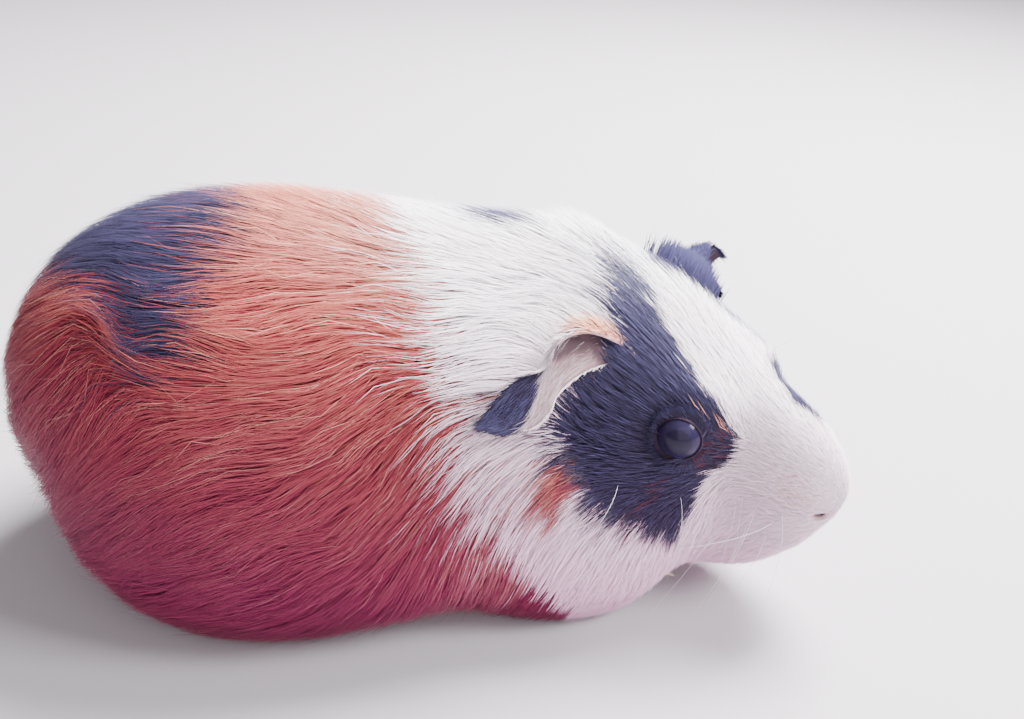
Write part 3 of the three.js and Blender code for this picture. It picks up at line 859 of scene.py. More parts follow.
def gather(path, guides, owner, hold):
    """Draws hairs towards the path of their lock's guide, more towards the tip."""
    pull = (np.linspace(0, 1, path.shape[1]) ** LOCK_CLOSE)[None, :, None] * hold[:, None, None]
    return path + (guides[owner] - path) * pull


def hair_tone(count, draw):
    """How bright each hair is about its neighbours, with a few that are much paler."""
    return draw.normal(0, 0.45, count) + PALE_TONE * (draw.random(count) < PALE_SHARE)


def whisker_pads(points):
    """1 in the middle of the whisker pads, where the hair is thin and unruly, falling to 0 round them."""
    local = to_head(points)
    return sum(fade(local - WHISKER_PAD * (1, side, 1), WHISKER_PAD_REACH, 4) for side in (1, -1))


def crown_rise(points):
    """How far hair stands out where it parts behind the crown and on the withers."""
    nape = fade(to_head(points) - NAPE_TUFT, NAPE_REACH)
    withers = fade(points - WITHERS, WITHERS_REACH)
    return 3.8 * nape + 1.6 * withers


def body_hairs(count, width, draw):
    """The long coat of the trunk, nape, chest and ruff."""
    body = the_body()

    def density(points):
        clear = ease(points[..., 2], 0.5, 5)
        return (1 - faceness(points)).clip(0.02, 1) * (0.04 + 0.96 * clear)

    roots, place = body.scatter(density, count, draw)
    guide_roots, _ = body.scatter(density, count // LOCK_SIZE, draw)
    owner = nearest(roots, guide_roots)

    def paths(at, wander, stray=False):
        n = len(at)
        depth = coat_depth(at)
        length = coat_length(at) * draw.uniform(0.72, 1.15, n)
        tip = -depth * draw.beta(1.1, 2.4, n) * 0.52 + 0.3 + crown_rise(at)
        tip = np.where(stray, draw.uniform(0.5, 1.9, n), tip)
        turn_by = draw.normal(0, np.where(stray, 0.5, wander), n)
        return walk(at, length, -depth - 0.25, tip, len(BODY_SLIMMING) + 1, turn_by)

    guides, _ = paths(guide_roots, wander=0.24)
    stray = draw.random(count) < STRAY_SHARE
    path, out = paths(roots, 0.12, stray)
    hold = draw.uniform(*LOCK_HOLD, count) * ~stray
    path = gather(path, guides, owner, hold)
    lock_tone = draw.normal(0, 0.35, len(guide_roots))[owner]
    # Hair round the whorl on the rump is paler, as painted highlight.
    tone = lock_tone + hair_tone(count, draw) + 1.1 * fade(roots - WHORL, 20)
    slim = width * draw.choice(BODY_WIDTHS, count, p=WIDTH_SHARES) * (1 - 0.3 * faceness(roots))
    reach = draw.choice(COLOUR_STEPS, count, p=STEP_SHARES)
    slim = np.where((tone > 1.6) | (reach < 1) | stray, slim * 0.6, slim)
    tone = tone + 0.8 * stray
    row, whole = np.arange(count), reach.astype(int)
    shows = path[row, whole] + (path[row, whole + 1] - path[row, whole]) * (reach - whole)[:, None]
    kind, shift = coat_kind(shows, draw)
    return Hairs(path, out, slim, on_unwrap(BODY_UNWRAP, *place.T), kind, tone + shift)


def face_hairs(count, width, draw):
    """The short close coat of the head."""
    body = the_body()

    def density(points):
        face = faceness(points)
        along = to_head(points)[..., 0]
        thick = np.interp(along, *FACE_DENSITY) * (1 - 0.6 * whisker_pads(points))
        return face * thick * ease(points[..., 2], 0.5, 3)

    roots, place = body.scatter(density, count, draw)
    local = to_head(roots)
    keep = np.ones(count, bool)
    for side in (1, -1):
        off, around = from_eye(roots, side)
        keep &= ~((around < LID_REACH) & (off[:, 2] > -4))
        keep &= from_nostril(local, side) > 1.1
    roots, place = roots[keep], place[keep]
    n = len(roots)
    depth = coat_depth(roots)
    length = coat_length(roots) * draw.uniform(0.75, 1.2, n)
    stray = draw.random(n) < STRAY_SHARE
    tip = np.where(stray, draw.uniform(0.2, 0.8, n), -depth * draw.uniform(0, 0.7, n) + 0.15)
    pad = whisker_pads(roots)
    tip = tip + 0.9 * pad * draw.random(n)
    path, out = walk(roots, length, -depth - 0.2, tip, STEPS.size, draw.normal(0, 0.14 + 0.9 * pad))
    kind, shift = coat_kind(path[:, 1], draw)
    tone = hair_tone(n, draw) + 0.3 * waves(roots, 5, seed=77) + shift
    slim = width * np.interp(local[keep][:, 0], *FACE_WIDTHS) * draw.uniform(0.8, 1.2, n)
    return Hairs(path, out, slim, on_unwrap(BODY_UNWRAP, *place.T), kind, tone)


# ---- Ears ----

EAR_ROWS, EAR_COLUMNS = 44, 26
EAR_THICKNESS = 0.8
# Edges on the right ear: places from its root to its tip, and places from upper to lower rim.
LOBE_EDGE = ((0.57, 0.60, 0.62, 0.67, 0.73, 0.76, 0.80), (-0.1, 0.30, 0.52, 0.64, 0.76, 0.92, 1.1))
CAVITY_EDGE = ((0.12, 0.19, 0.27, 0.36, 0.45, 0.52, 0.56), (1.1, 0.93, 0.88, 0.80, 0.67, 0.35, -0.1))
CREST = (0.20, 0.42)                             # where the crest's ginger hair ends, from root to tip
# Hairs on the back and the inside of each ear, and along its rims.
EAR_HAIRS = {1: (2200, 700, 1400), -1: (2400, 3000, 700)}
TUFT_HAIRS, LID_HAIRS = 3000, 1500
LEFT_EAR_SHADE = -5.5                             # how much darker the left ear is than other black hair, as painted shade
SHEEN_STREAK_TONE, SHEEN_STREAK_SHARE = 5.0, 0.4             # paler streaks among the black hair inside an ear, as painted sheen
INSIDE_LENGTH, INSIDE_WIDTH, INSIDE_WHITE_TONE = 3.8, 0.08, -7.5
BACK_LENGTH, BACK_WIDTH = {1: 3.2, -1: 3.4}, 0.15
CREST_EXTRA, CREST_TONE = 2.6, 2.4               # the crest's hair is longer and paler


def ear_skin(side):
    """One ear as a closed sheet with a rounded rim, its root sunk into the head."""
    sheet, facing = ear_sheet(side, EAR_ROWS, EAR_COLUMNS)
    columns = np.linspace(0, 1, EAR_COLUMNS)
    rows = np.linspace(0, 1, EAR_ROWS)
    rim = np.sqrt(np.clip(np.minimum(columns, 1 - columns) * 8, 0, 1))[None].repeat(EAR_ROWS, 0)
    rim *= np.sqrt(np.clip((1 - rows) * 8, 0.02, 1))[:, None]
    half = facing * (EAR_THICKNESS / 2 * (0.25 + 0.75 * rim))[..., None]
    rings = np.concatenate([sheet + half, (sheet - half)[:, ::-1]], 1)
    inside = from_head((6, side * 6, 2))
    roots = [rings[0] + (inside - rings[0].mean(0)) * f for f in (0.75, 0.35)]
    return closed_loft("ear", np.concatenate([np.stack(roots), rings[1:]]))


def ear_lobe(u, v, side):
    """1 on the dark part of an ear, at places from its root to its tip and from upper to lower rim."""
    if side > 0:
        return np.full(np.shape(u), 0.97)
    return 1 - ease(v - np.interp(u, *LOBE_EDGE), -0.04, 0.06)


def ear_cavity(u, v):
    """1 in the depth of an ear under its crest, where the skin is darkened as painted shade."""
    return 1 - ease(v - np.interp(u, *CAVITY_EDGE), -0.12, 0.06)


def ear_hairs(side, draw):
    """All the hair of one ear, with a fringe along its rims and the tuft at the foot of the left one."""
    sheet, facing = ear_sheet(side, *EAR_GRID)
    ways = (sheet, facing, unit(np.gradient(sheet, axis=0)), unit(np.gradient(sheet, axis=1)))
    back_count, inside_count, fringe_count = EAR_HAIRS[side]
    crops = [ear_face(side, False, back_count, ways, draw), ear_face(side, True, inside_count, ways, draw),
             ear_fringe(side, fringe_count, ways, draw)]
    if side > 0:
        crops.append(ear_tuft(draw))
    return joined(crops)


def ear_face(side, inside, count, ways, draw):
    """Thin hair on the inside of an ear, or short hair on its back."""
    sheet, facing, down, across = ways
    u, v = draw.random(count), draw.random(count)
    if inside:
        u = 0.12 + 0.86 * u
    i, j = (u * (EAR_GRID[0] - 1)).astype(int), (v * (EAR_GRID[1] - 1)).astype(int)
    out = facing[i, j] * (1 if inside else -1)
    crest = (1 - ease(u, *CREST)) * (not inside)
    back_length = BACK_LENGTH[side] + CREST_EXTRA * crest * (side < 0)
    length = (INSIDE_LENGTH if inside else back_length) * draw.uniform(0.7, 1.3, count)
    fan = draw.normal(0, 0.14 if inside else 0.25, count) + (v - 0.5) * 0.3
    way = unit(down[i, j] + across[i, j] * fan[:, None])
    lift = draw.uniform(0.04, 0.2, count) + (0.18 if side > 0 else 0.12) * (not inside)
    path = straight(sheet[i, j] + out * (EAR_THICKNESS / 2 - 0.15), way, length)
    path = path + (out * (lift * length)[:, None])[:, None] * STEPS ** 0.7
    dark = ear_lobe(u, v, side)
    kind = np.where(dark > draw.uniform(0.35, 0.65, count), BLACK, WHITE)
    if side < 0:
        ragged, mottled = draw.normal(0.68, 0.03, count), draw.random(count)
        if not inside:
            kind = np.where(u < ragged, WHITE, BLACK)
            kind = np.where(mottled < crest, GINGER, kind)
    keep = np.ones(count, bool)
    if inside:
        keep = draw.random(count) < np.where(ear_cavity(u, v) > 0.6, 0.05, 0.4 + 0.5 * dark)
    place = on_unwrap(EAR_UNWRAP, u, v, EAR_UNWRAP_STEP * ((side > 0) + 2 * inside))
    tone = draw.normal(LEFT_EAR_SHADE * (side > 0), 0.5, count) + CREST_TONE * crest
    # Streaks of paler black hair inside the ear stand for its sheen, as painted highlight.
    streak = draw.random(count) < SHEEN_STREAK_SHARE
    if inside:
        tone = tone + np.where(kind == BLACK, SHEEN_STREAK_TONE * streak, INSIDE_WHITE_TONE)
    width = (INSIDE_WIDTH if inside else BACK_WIDTH) * draw.uniform(0.8, 1.2, count)
    return Hairs(path, each_step(out), width, place, kind, tone).take(keep)


def ear_tuft(draw):
    """Black hair that lies outwards along the foot of the left ear."""
    body, count = the_body(), TUFT_HAIRS
    at = EAR_TUFT + draw.normal(size=(count, 3)) * EAR_TUFT_SPREAD
    roots = body.lattice.settle(from_head(at), -2.0, 4)
    out = unit(body.lattice.look(roots)[1])
    sideways = HEAD_TURN @ unit(np.array([-0.35, 1.0, 0.35]))
    way = unit(sideways + out * draw.uniform(0.1, 0.9, count)[:, None] + draw.normal(0, 0.1, (count, 3)))
    path = straight(roots, way, draw.uniform(6, 10, count)) - out[:, None] * STEPS ** 2
    place = on_unwrap(BODY_UNWRAP, *body.place_of(roots).T)
    # The tuft is darkened like the left ear, as painted shade.
    return Hairs(path, each_step(out), draw.uniform(0.16, 0.26, count), place, np.full(count, BLACK),
                 draw.normal(-5.0, 0.8, count))


def ear_fringe(side, count, ways, draw):
    """Fine hairs that stand out along both rims of an ear, and longer ones under its crest."""
    sheet, facing, down, across = ways
    u = draw.random(count)
    upper = draw.random(count) < 0.6
    i = (u * (EAR_GRID[0] - 1)).astype(int)
    j = np.where(upper, 0, EAR_GRID[1] - 1)
    outward = across[i, j] * np.where(upper, -1, 1)[:, None]
    out = facing[i, j]
    way = unit(down[i, j] * 0.9 + outward * draw.uniform(0.1, 0.6, count)[:, None]
               + out * draw.normal(0, 0.25, count)[:, None])
    under_crest = upper & (u < CREST[1])
    way = np.where(under_crest[:, None], unit(down[i, j] * 0.5 + across[i, j] * 0.9 + out * 0.5), way)
    length = draw.uniform(1.2, 2.6, count) * np.where(under_crest, 1.5, 1.7 if side > 0 else 1.0)
    kind = np.where(ear_lobe(u, np.where(upper, 0.05, 0.95), side) > 0.5, BLACK, WHITE)
    tone = LEFT_EAR_SHADE if side > 0 else 0.4
    place = on_unwrap(FRINGE_UNWRAP, upper, u, EAR_UNWRAP_STEP * (side > 0))
    return Hairs(straight(sheet[i, j], way, length), each_step(out), draw.uniform(0.12, 0.2, count), place,
                 kind, draw.normal(tone, 0.4, count))


def lid_hairs(draw):
    """Short hair that grows outwards over the lids, right up to their rims."""
    crops, count, body = [], LID_HAIRS, the_body()
    reach, height = np.array(LID_SECTION[1:7]).T
    for side in (1, -1):
        centre, axes = eye_centre(side), eye_axes(side)
        angle = draw.uniform(0, 2 * math.pi, count)
        start = draw.uniform(5.3, 6.5, count)
        end = start + draw.uniform(1.2, 2.2, count)
        turned = angle + 0.35 * np.sin(angle)
        on_lid = np.interp(start, reach, height) - 0.1
        root = np.stack([np.cos(angle) * start, np.sin(angle) * start, on_lid], -1)
        tip = np.stack([np.cos(turned) * end, np.sin(turned) * end, np.full(count, 2.0)], -1)
        root, tip = centre + root @ axes.T, centre + tip @ axes.T
        tip = body.lattice.settle(tip, draw.uniform(-0.5, 0.1, count), 3)
        middle = (root + tip) / 2 + axes[:, 2] * 0.2
        kind, shift = coat_kind(tip, draw)
        out = np.broadcast_to(axes[:, 2], (count, 3))
        crops.append(Hairs(np.stack([root, middle, tip], 1), each_step(out), draw.uniform(0.12, 0.18, count),
                           on_unwrap(BODY_UNWRAP, *body.place_of(root).T), kind,
                           hair_tone(count, draw) + shift))
    return crops


def foot_hairs(draw):
    """The shortest hair, on the feet, lying towards the toes."""
    crops = []
    for leg in (FORELEG, HINDLEG):
        balls = foot_balls(leg)
        for centre, yaw, radii in balls:
            count = int(5 * radii[0] * radii[1])
            ways = unit(draw.normal(size=(count, 3)))
            root = centre + (ways * radii * 0.97) @ turn(yaw).T
            out = unit(ways / radii) @ turn(yaw).T
            keep = (root[:, 2] > 1.2) & (out[:, 2] > -0.3)
            for other, bend, size in balls:
                within = np.linalg.norm(((root - other) @ turn(bend)) / size, axis=1)
                keep &= within > (0.96 if other is centre else 0.99)
            root, out = root[keep], out[keep]
            count = len(root)
            way = unit(np.array([1.0, 0, -0.2]) + draw.normal(0, 0.12, (count, 3)))
            way = unit(way - out * (way * out).sum(-1, keepdims=True))
            length = np.interp(root[:, 0] - centre[0], (-8, 8), (3.0, 1.6)) * draw.uniform(0.7, 1.2, count)
            path = straight(root, way, length) + out[:, None] * 0.25 * STEPS ** 0.7
            ahead, aside, _ = ways[keep].T
            step = leg["unwrap"] + FOOT_UNWRAP_STEP * (ahead > 0)
            place = on_unwrap(FOOT_UNWRAP, np.abs(aside), draw.random(count), step)
            for side in (1, -1):
                mirror = np.array([1, side, 1])
                kind, shift = coat_kind(root * mirror, draw)
                crops.append(Hairs(path * mirror, each_step(out * mirror), draw.uniform(0.12, 0.18, count),
                                   place, kind, shift - 0.5))
    return crops


def joined(crops):
    """Several crops with the same number of steps as one."""
    parts = ("path", "out", "width", "place", "kind", "tone")
    return Hairs(*(np.concatenate([getattr(crop, part) for crop in crops]) for part in parts))


# ---- Materials ----


def node_tree(name, roughness, specular=0.5):
    """A new material with a Principled shader, and a helper that adds nodes to it."""
    material = bpy.data.materials.new(name)
    material.use_nodes = True
    nodes, links = material.node_tree.nodes, material.node_tree.links
    shader = nodes["Principled BSDF"]
    shader.inputs["Roughness"].default_value = roughness
    shader.inputs["Specular IOR Level"].default_value = specular

    def add(kind, settings=None, **wired):
        node = nodes.new(kind)
        for key, value in (settings or {}).items():
            setattr(node, key, value)
        for key, value in wired.items():
            socket = node.inputs[int(key[1:])] if key[0] == "i" and key[1:].isdigit() else node.inputs[key]
            if isinstance(value, bpy.types.NodeSocket):
                links.new(value, socket)
            else:
                socket.default_value = value
        return node

    return material, shader, add, links


def mixed(add, factor, first, second, blend="MIX"):
    """Colour mix of two colours or sockets."""
    node = add("ShaderNodeMix", {"data_type": "RGBA", "blend_type": blend}, i0=factor, i6=first, i7=second)
    return node.outputs[2]


def ranged(add, value, low, high, to_low=0.0, to_high=1.0):
    """A value's smooth step from one number to another between two limits."""
    node = add("ShaderNodeMapRange", {"interpolation_type": "SMOOTHSTEP"}, i0=value, i1=low, i2=high,
               i3=to_low, i4=to_high)
    return node.outputs[0]


def scaled(add, value, factor, offset=0.0):
    """A value times a factor, plus an offset."""
    return add("ShaderNodeMath", {"operation": "MULTIPLY_ADD"}, i0=value, i1=factor, i2=offset).outputs[0]


def given(add, name):
    """A value that the mesh gives for each vertex."""
    return add("ShaderNodeAttribute", {"attribute_name": name}).outputs["Fac"]


def on_object(add, stretch=None):
    """Places on the object, stretched where a pattern runs along it."""
    where = add("ShaderNodeTexCoord").outputs["Object"]
    return add("ShaderNodeMapping", Vector=where, Scale=stretch).outputs[0] if stretch else where


def noise(add, where, scale, detail):
    """Smooth noise of the given scale."""
    return add("ShaderNodeTexNoise", Vector=where, Scale=scale, Detail=detail).outputs["Fac"]


def bumped(add, links, shader, height, strength, distance):
    """Gives a shader's surface a fine relief."""
    bump = add("ShaderNodeBump", Strength=strength, Distance=distance, Height=height)
    links.new(bump.outputs[0], shader.inputs["Normal"])


def rgba(colour, scale=1.0):
    """A setting's colour, made lighter or darker, for a socket."""
    return (colour[0] * scale, colour[1] * scale, colour[2] * scale, 1.0)


def hair_material(name, root, middle, tip, pale_and_highlight, low, reach, specular, contrast):
    """Hair that changes from root to tip and from hair to hair, with painted highlight on the top of the
    back and painted shade and pink bounce light low down the sides.
    """
    material, shader, add, links = node_tree(name, 0.5, specular)
    along, tone, where = given(add, "along"), given(add, "tone"), on_object(add)
    axes = add("ShaderNodeSeparateXYZ", i0=where).outputs
    height = scaled(add, axes["X"], 0.25, axes["Z"])
    # Darker towards the root: painted shade deep in the coat.
    body = mixed(add, ranged(add, along, 0.05, 0.55), rgba(root), rgba(middle))
    body = mixed(add, ranged(add, along, 0.45, 1.0), body, rgba(tip))
    body = mixed(add, ranged(add, tone, 1.4, 2.6, 0.0, 0.6), body, rgba(pale_and_highlight))
    # Paler towards the top of the back and the crown: partly the coat's own colour, partly painted highlight
    # where the light from above falls.
    body = mixed(add, ranged(add, height, 0.068, 0.096, 0.0, 0.35), body, rgba(pale_and_highlight))
    # Darker and pinker low down: painted shade and painted pink bounce light, and for the ginger partly its
    # own deeper colour.
    body = mixed(add, ranged(add, height, 0.004, reach, 0.85, 0.0), body, rgba(low))
    uneven = scaled(add, noise(add, where, 55.0, 2.0), contrast, 1.0 - contrast / 2)
    bright = scaled(add, scaled(add, tone, contrast, 1.0), uneven)
    grey = add("ShaderNodeCombineColor", i0=bright, i1=bright, i2=bright).outputs[0]
    links.new(mixed(add, 1.0, body, grey, "MULTIPLY"), shader.inputs["Base Color"])
    shader.inputs["Sheen Weight"].default_value = 0.2 * specular
    shader.inputs["Sheen Roughness"].default_value = 0.45
    return material


def skin_material(look):
    """Skin under the coat: the coat's own colours, finely streaked, and bare skin where it shows, darkened
    by pigment and by painted shade.
    """
    material, shader, add, links = node_tree("guinea_pig_skin", 0.75, 0.06)
    fine = noise(add, on_object(add, (500.0, 1600.0, 1600.0)), 1.0, 3.0)
    pores = noise(add, on_object(add), 1400.0, 3.0)
    veins = noise(add, on_object(add), 160.0, 4.0)
    bare = given(add, "bare")
    white_coat = mixed(add, fine, rgba(look.white_root), rgba(look.white_tip))
    ginger_coat = mixed(add, fine, rgba(look.ginger_root), rgba(look.ginger_middle))
    black_coat = mixed(add, fine, rgba(look.black_root), rgba(look.black_tip))
    coat = mixed(add, given(add, "ginger"), white_coat, ginger_coat)
    coat = mixed(add, given(add, "black"), coat, black_coat)
    flesh = mixed(add, ranged(add, veins, 0.35, 0.7), rgba(look.bare_skin), rgba(look.bare_skin, 0.72))
    # Dark skin: pigment of the lids and ears, and painted shade in the ears' hollows and the nostrils.
    dusk = mixed(add, ranged(add, veins, 0.3, 0.7), rgba(look.dark_skin_and_shade), rgba(look.dark_skin_and_shade, 0.5))
    flesh = mixed(add, given(add, "dark"), flesh, dusk)
    links.new(mixed(add, bare, coat, flesh), shader.inputs["Base Color"])
    rough = mixed(add, bare, (0.75, 0.75, 0.75, 1), (0.68, 0.68, 0.68, 1))
    links.new(rough, shader.inputs["Roughness"])
    bumped(add, links, shader, mixed(add, bare, fine, pores), 0.35, 0.0004)
    return material


def eye_material(look):
    """Wet, nearly black eye with a faintly paler iris round a wide pupil."""
    material, shader, add, links = node_tree("guinea_pig_eye", 0.28, 0.05)
    ring = given(add, "ring")
    fibres = noise(add, on_object(add), 900.0, 4.0)
    iris = mixed(add, fibres, rgba(look.eye_colour, 0.85), rgba(look.eye_colour, 1.25))
    inner = mixed(add, ranged(add, ring, 0.50, 0.60), rgba(look.eye_colour, 0.7), iris)
    colour = mixed(add, ranged(add, ring, 0.80, 0.95), inner, rgba(look.eye_colour, 0.8))
    links.new(colour, shader.inputs["Base Color"])
    shader.inputs["Coat Weight"].default_value = 0.3
    shader.inputs["Coat Roughness"].default_value = 0.08
    shader.inputs["Coat IOR"].default_value = 1.38
    return material


def horn_material(look):
    """Pale horn of the claws, darker along the quick."""
    material, shader, add, links = node_tree("guinea_pig_claw", 0.35)
    streak = noise(add, on_object(add, (180.0, 900.0, 900.0)), 1.0, 3.0)
    colour = mixed(add, ranged(add, streak, 0.3, 0.7), rgba(look.claw_colour), rgba(look.claw_colour, 0.6))
    links.new(colour, shader.inputs["Base Color"])
    bumped(add, links, shader, streak, 0.2, 0.0002)
    shader.inputs["Subsurface Weight"].default_value = 0.15
    shader.inputs["Subsurface Scale"].default_value = 0.001
    return material


def mottled_material(name, colour, dark, light, scale, detail, roughness, specular=0.5):
    """One colour that varies a little from place to place."""
    material, shader, add, links = node_tree(name, roughness, specular)
    mottle = noise(add, on_object(add), scale, detail)
    links.new(mixed(add, mottle, rgba(colour, dark), rgba(colour, light)), shader.inputs["Base Color"])
    return material


# ---- Skin, feet, lids, eyes, claws and whiskers ----


def toe_places(leg):
    """Centre, yaw and radii of each toe of a left foot."""
    count, at, spread, fan, radii = leg["toes"]
    for i in range(count):
        place = i - (count - 1) / 2
        yield (at[0] - abs(place) * TOE_SETBACK, at[1] + place * spread, at[2]), place * fan, radii


def foot_balls(leg):
    """Centre, yaw and radii of each soft mass of a left foot's skin, the toes last."""
    masses = [(at, yaw, radii, FOOT_HAIR_DEPTH) for at, radii, yaw in leg["masses"]]
    masses += [(at, yaw, radii, TOE_HAIR_DEPTH) for at, yaw, radii in toe_places(leg)]
    return [(np.array(at, float), yaw, np.array(radii) - depth) for at, yaw, radii, depth in masses]


def ball_mesh(name, centre, axes, radii, segments):
    """A closed ellipsoid."""
    work = bmesh.new()
    bmesh.ops.create_uvsphere(work, u_segments=segments, v_segments=segments // 2, radius=1)
    piece = new_object(name, bpy.data.meshes.new(name))
    work.to_mesh(piece.data)
    work.free()
    set_points(piece, (points_of(piece) * MM * radii) @ axes.T + centre)
    return piece


def join_objects(pieces):
    """Several objects as one, without melting them together."""
    with bpy.context.temp_override(active_object=pieces[0], selected_editable_objects=pieces):
        bpy.ops.object.join()
    return pieces[0]


def foot_skin(leg, side):
    """A leg's lower part with its toes, melted together."""
    balls = []
    for number, (centre, yaw, radii) in enumerate(foot_balls(leg)):
        segments = BALL_SEGMENTS if number < len(leg["masses"]) else TOE_SEGMENTS
        balls.append(ball_mesh("foot", centre * (1, side, 1), turn(yaw * side), radii, segments))
    foot = join_objects(balls)
    melt = foot.modifiers.new("melt", "REMESH")
    melt.mode = "VOXEL"
    melt.voxel_size = FOOT_MELT * MM
    soften = foot.modifiers.new("soften", "SMOOTH")
    soften.iterations = 3
    take_evaluated(foot)
    points = points_of(foot)
    points[:, 2] = np.maximum(points[:, 2], FLOOR_CLEARANCE)
    set_points(foot, points)
    return foot


# Section of an eye's lids, from the rim of the opening round to the skin: distance from the eye's
# axis, and height above the ball's centre, in millimetres.
LID_SECTION = ((5.0, 3.4), (5.1, 3.6), (5.3, 3.4), (5.6, 2.8), (6.0, 1.8), (6.6, 0.4), (7.4, -1.4),
               (7.3, -2.4), (6.8, -1.8), (6.2, -0.2), (5.6, 1.7), (5.15, 2.9))
LID_REACH = 5.2                                  # how far from the eye's axis the coat begins
EAR_TOUCH, EAR_ROOT_DEPTH = 1.6, 3.2             # skin this near an ear's sheet and no deeper is the ear's
LID_DEPTH = 9.0                                  # how far before and behind the ball the lids can be
LID_SIDES, LID_ROUND = 72, 36                    # points round the opening, and round the section


def lid_skin(side):
    """The lids as one closed ring, a little longer than high."""
    centre, axes = eye_centre(side), eye_axes(side)
    angle = np.linspace(0, 2 * math.pi, LID_SIDES, endpoint=False)
    section = np.array(LID_SECTION)
    fine, _ = through(np.vstack([section, section[:1]]), np.linspace(0, 1, LID_ROUND + 1)[:-1])
    stretch = 1 + 0.02 * np.cos(2 * angle)
    radius = fine[None, :, 0] * stretch[:, None]
    droop = -0.1 * np.cos(2 * angle)[:, None] * np.ones(len(fine))
    flat = np.stack([np.cos(angle), np.sin(angle)], -1)[:, None] * radius[..., None]
    local = np.concatenate([flat, (fine[None, :, 1] + droop)[..., None]], -1)
    points = centre + local @ axes.T
    rows, columns = points.shape[:2]
    quads = tube_faces(rows + 1, columns) % (rows * columns)
    piece = new_mesh("lid", points, quads)
    face_outwards(piece)
    return piece


def skin_values(points):
    """What shows at each point of the skin: the coat's colours, bare skin, and how dark that is, from
    pigment and from painted shade in the ears' hollows and the nostrils.
    """
    black, ginger = marking_depths(points)
    black = 1 - ease(black, -1.2, 1.2)
    ginger = (1 - ease(ginger, -1.2, 1.2)) * (1 - black)
    bare, dark = np.zeros((2, len(points)))
    distance, _ = the_body().lattice.look(points)
    local = to_head(points)
    rows, columns = EAR_GRID
    for side in (1, -1):
        off, around = from_eye(points, side)
        beside = np.abs(off[:, 2]) < LID_DEPTH
        bare = np.maximum(bare, (1 - ease(around, 5.3, 5.9)) * beside)
        dark = np.maximum(dark, 0.985 * ((around < 10) & beside))
        # Round the nostrils the skin is bare, and darkened in their hollows as painted shade.
        close = from_nostril(local, side)
        bare = np.maximum(bare, 1 - ease(close, 1.0, 1.8))
        dark = np.maximum(dark, 0.95 * (1 - ease(close, 0.5, 1.2)))
        sheet, facing = ear_sheet(side, rows, columns)
        flat, out = sheet.reshape(-1, 3), facing.reshape(-1, 3)
        near = np.flatnonzero(np.linalg.norm(points - flat.mean(0), axis=1) < 40)
        owner = nearest(points[near], flat)
        gap = np.linalg.norm(points[near] - flat[owner], axis=1)
        touching = (gap < EAR_TOUCH) & (distance[near] > -EAR_ROOT_DEPTH)
        on_ear, owner = near[touching], owner[touching]
        u, v = owner // columns / (rows - 1), owner % columns / (columns - 1)
        inner = ((points[on_ear] - flat[owner]) * out[owner]).sum(1) > 0
        # Pigment darkens the lobe, painted shade darkens the hollow under the crest, and the flap is at
        # least half dark.
        shade = np.maximum(np.maximum(ear_lobe(u, v, side), ear_cavity(u, v) * 0.85), 0.5)
        rim = (1 - ease(v, 0.02, 0.06)) * (1 - ease(u, 0.5, 0.6)) * (side < 0)
        bare[on_ear] = np.where(inner, 1, rim)
        dark[on_ear] = np.where(inner, shade, 1) * (1 - rim)
        black[on_ear] = ~inner * (ease(u, 0.64, 0.72) if side < 0 else 1)
        ginger[on_ear] = ~inner * ((1 - ease(u, *CREST)) if side < 0 else 0)
    toes = (points[:, 2] < 2.2) & (np.abs(points[:, 1]) > 15)
    bare = np.maximum(bare, np.maximum(toes * 0.8, whisker_pads(points) * 0.6))
    return black, ginger, bare, dark


def eye_ball(side):
    """A ball with a slight cornea, and its rings measured from the middle of the pupil."""
    centre, axes = eye_centre(side), eye_axes(side)
    rows, columns = EYE_GRID
    polar = np.linspace(0, math.pi, rows + 2)[1:-1, None]
    angle = np.linspace(0, 2 * math.pi, columns, endpoint=False)[None]
    bulge = CORNEA_BULGE * np.exp(-(polar / CORNEA_REACH) ** 2)
    radius = EYE_RADIUS - EYE_GAP + bulge + 0 * angle
    local = np.stack([np.sin(polar) * np.cos(angle), np.sin(polar) * np.sin(angle),
                      np.cos(polar) + 0 * angle], -1) * radius[..., None]
    piece = closed_loft("eyeball_" + ("left" if side > 0 else "right"), centre + local @ axes.T)
    away = (points_of(piece) - centre) @ axes
    add_values(piece, "ring", np.arctan2(np.hypot(away[:, 0], away[:, 1]), away[:, 2]))
    return piece


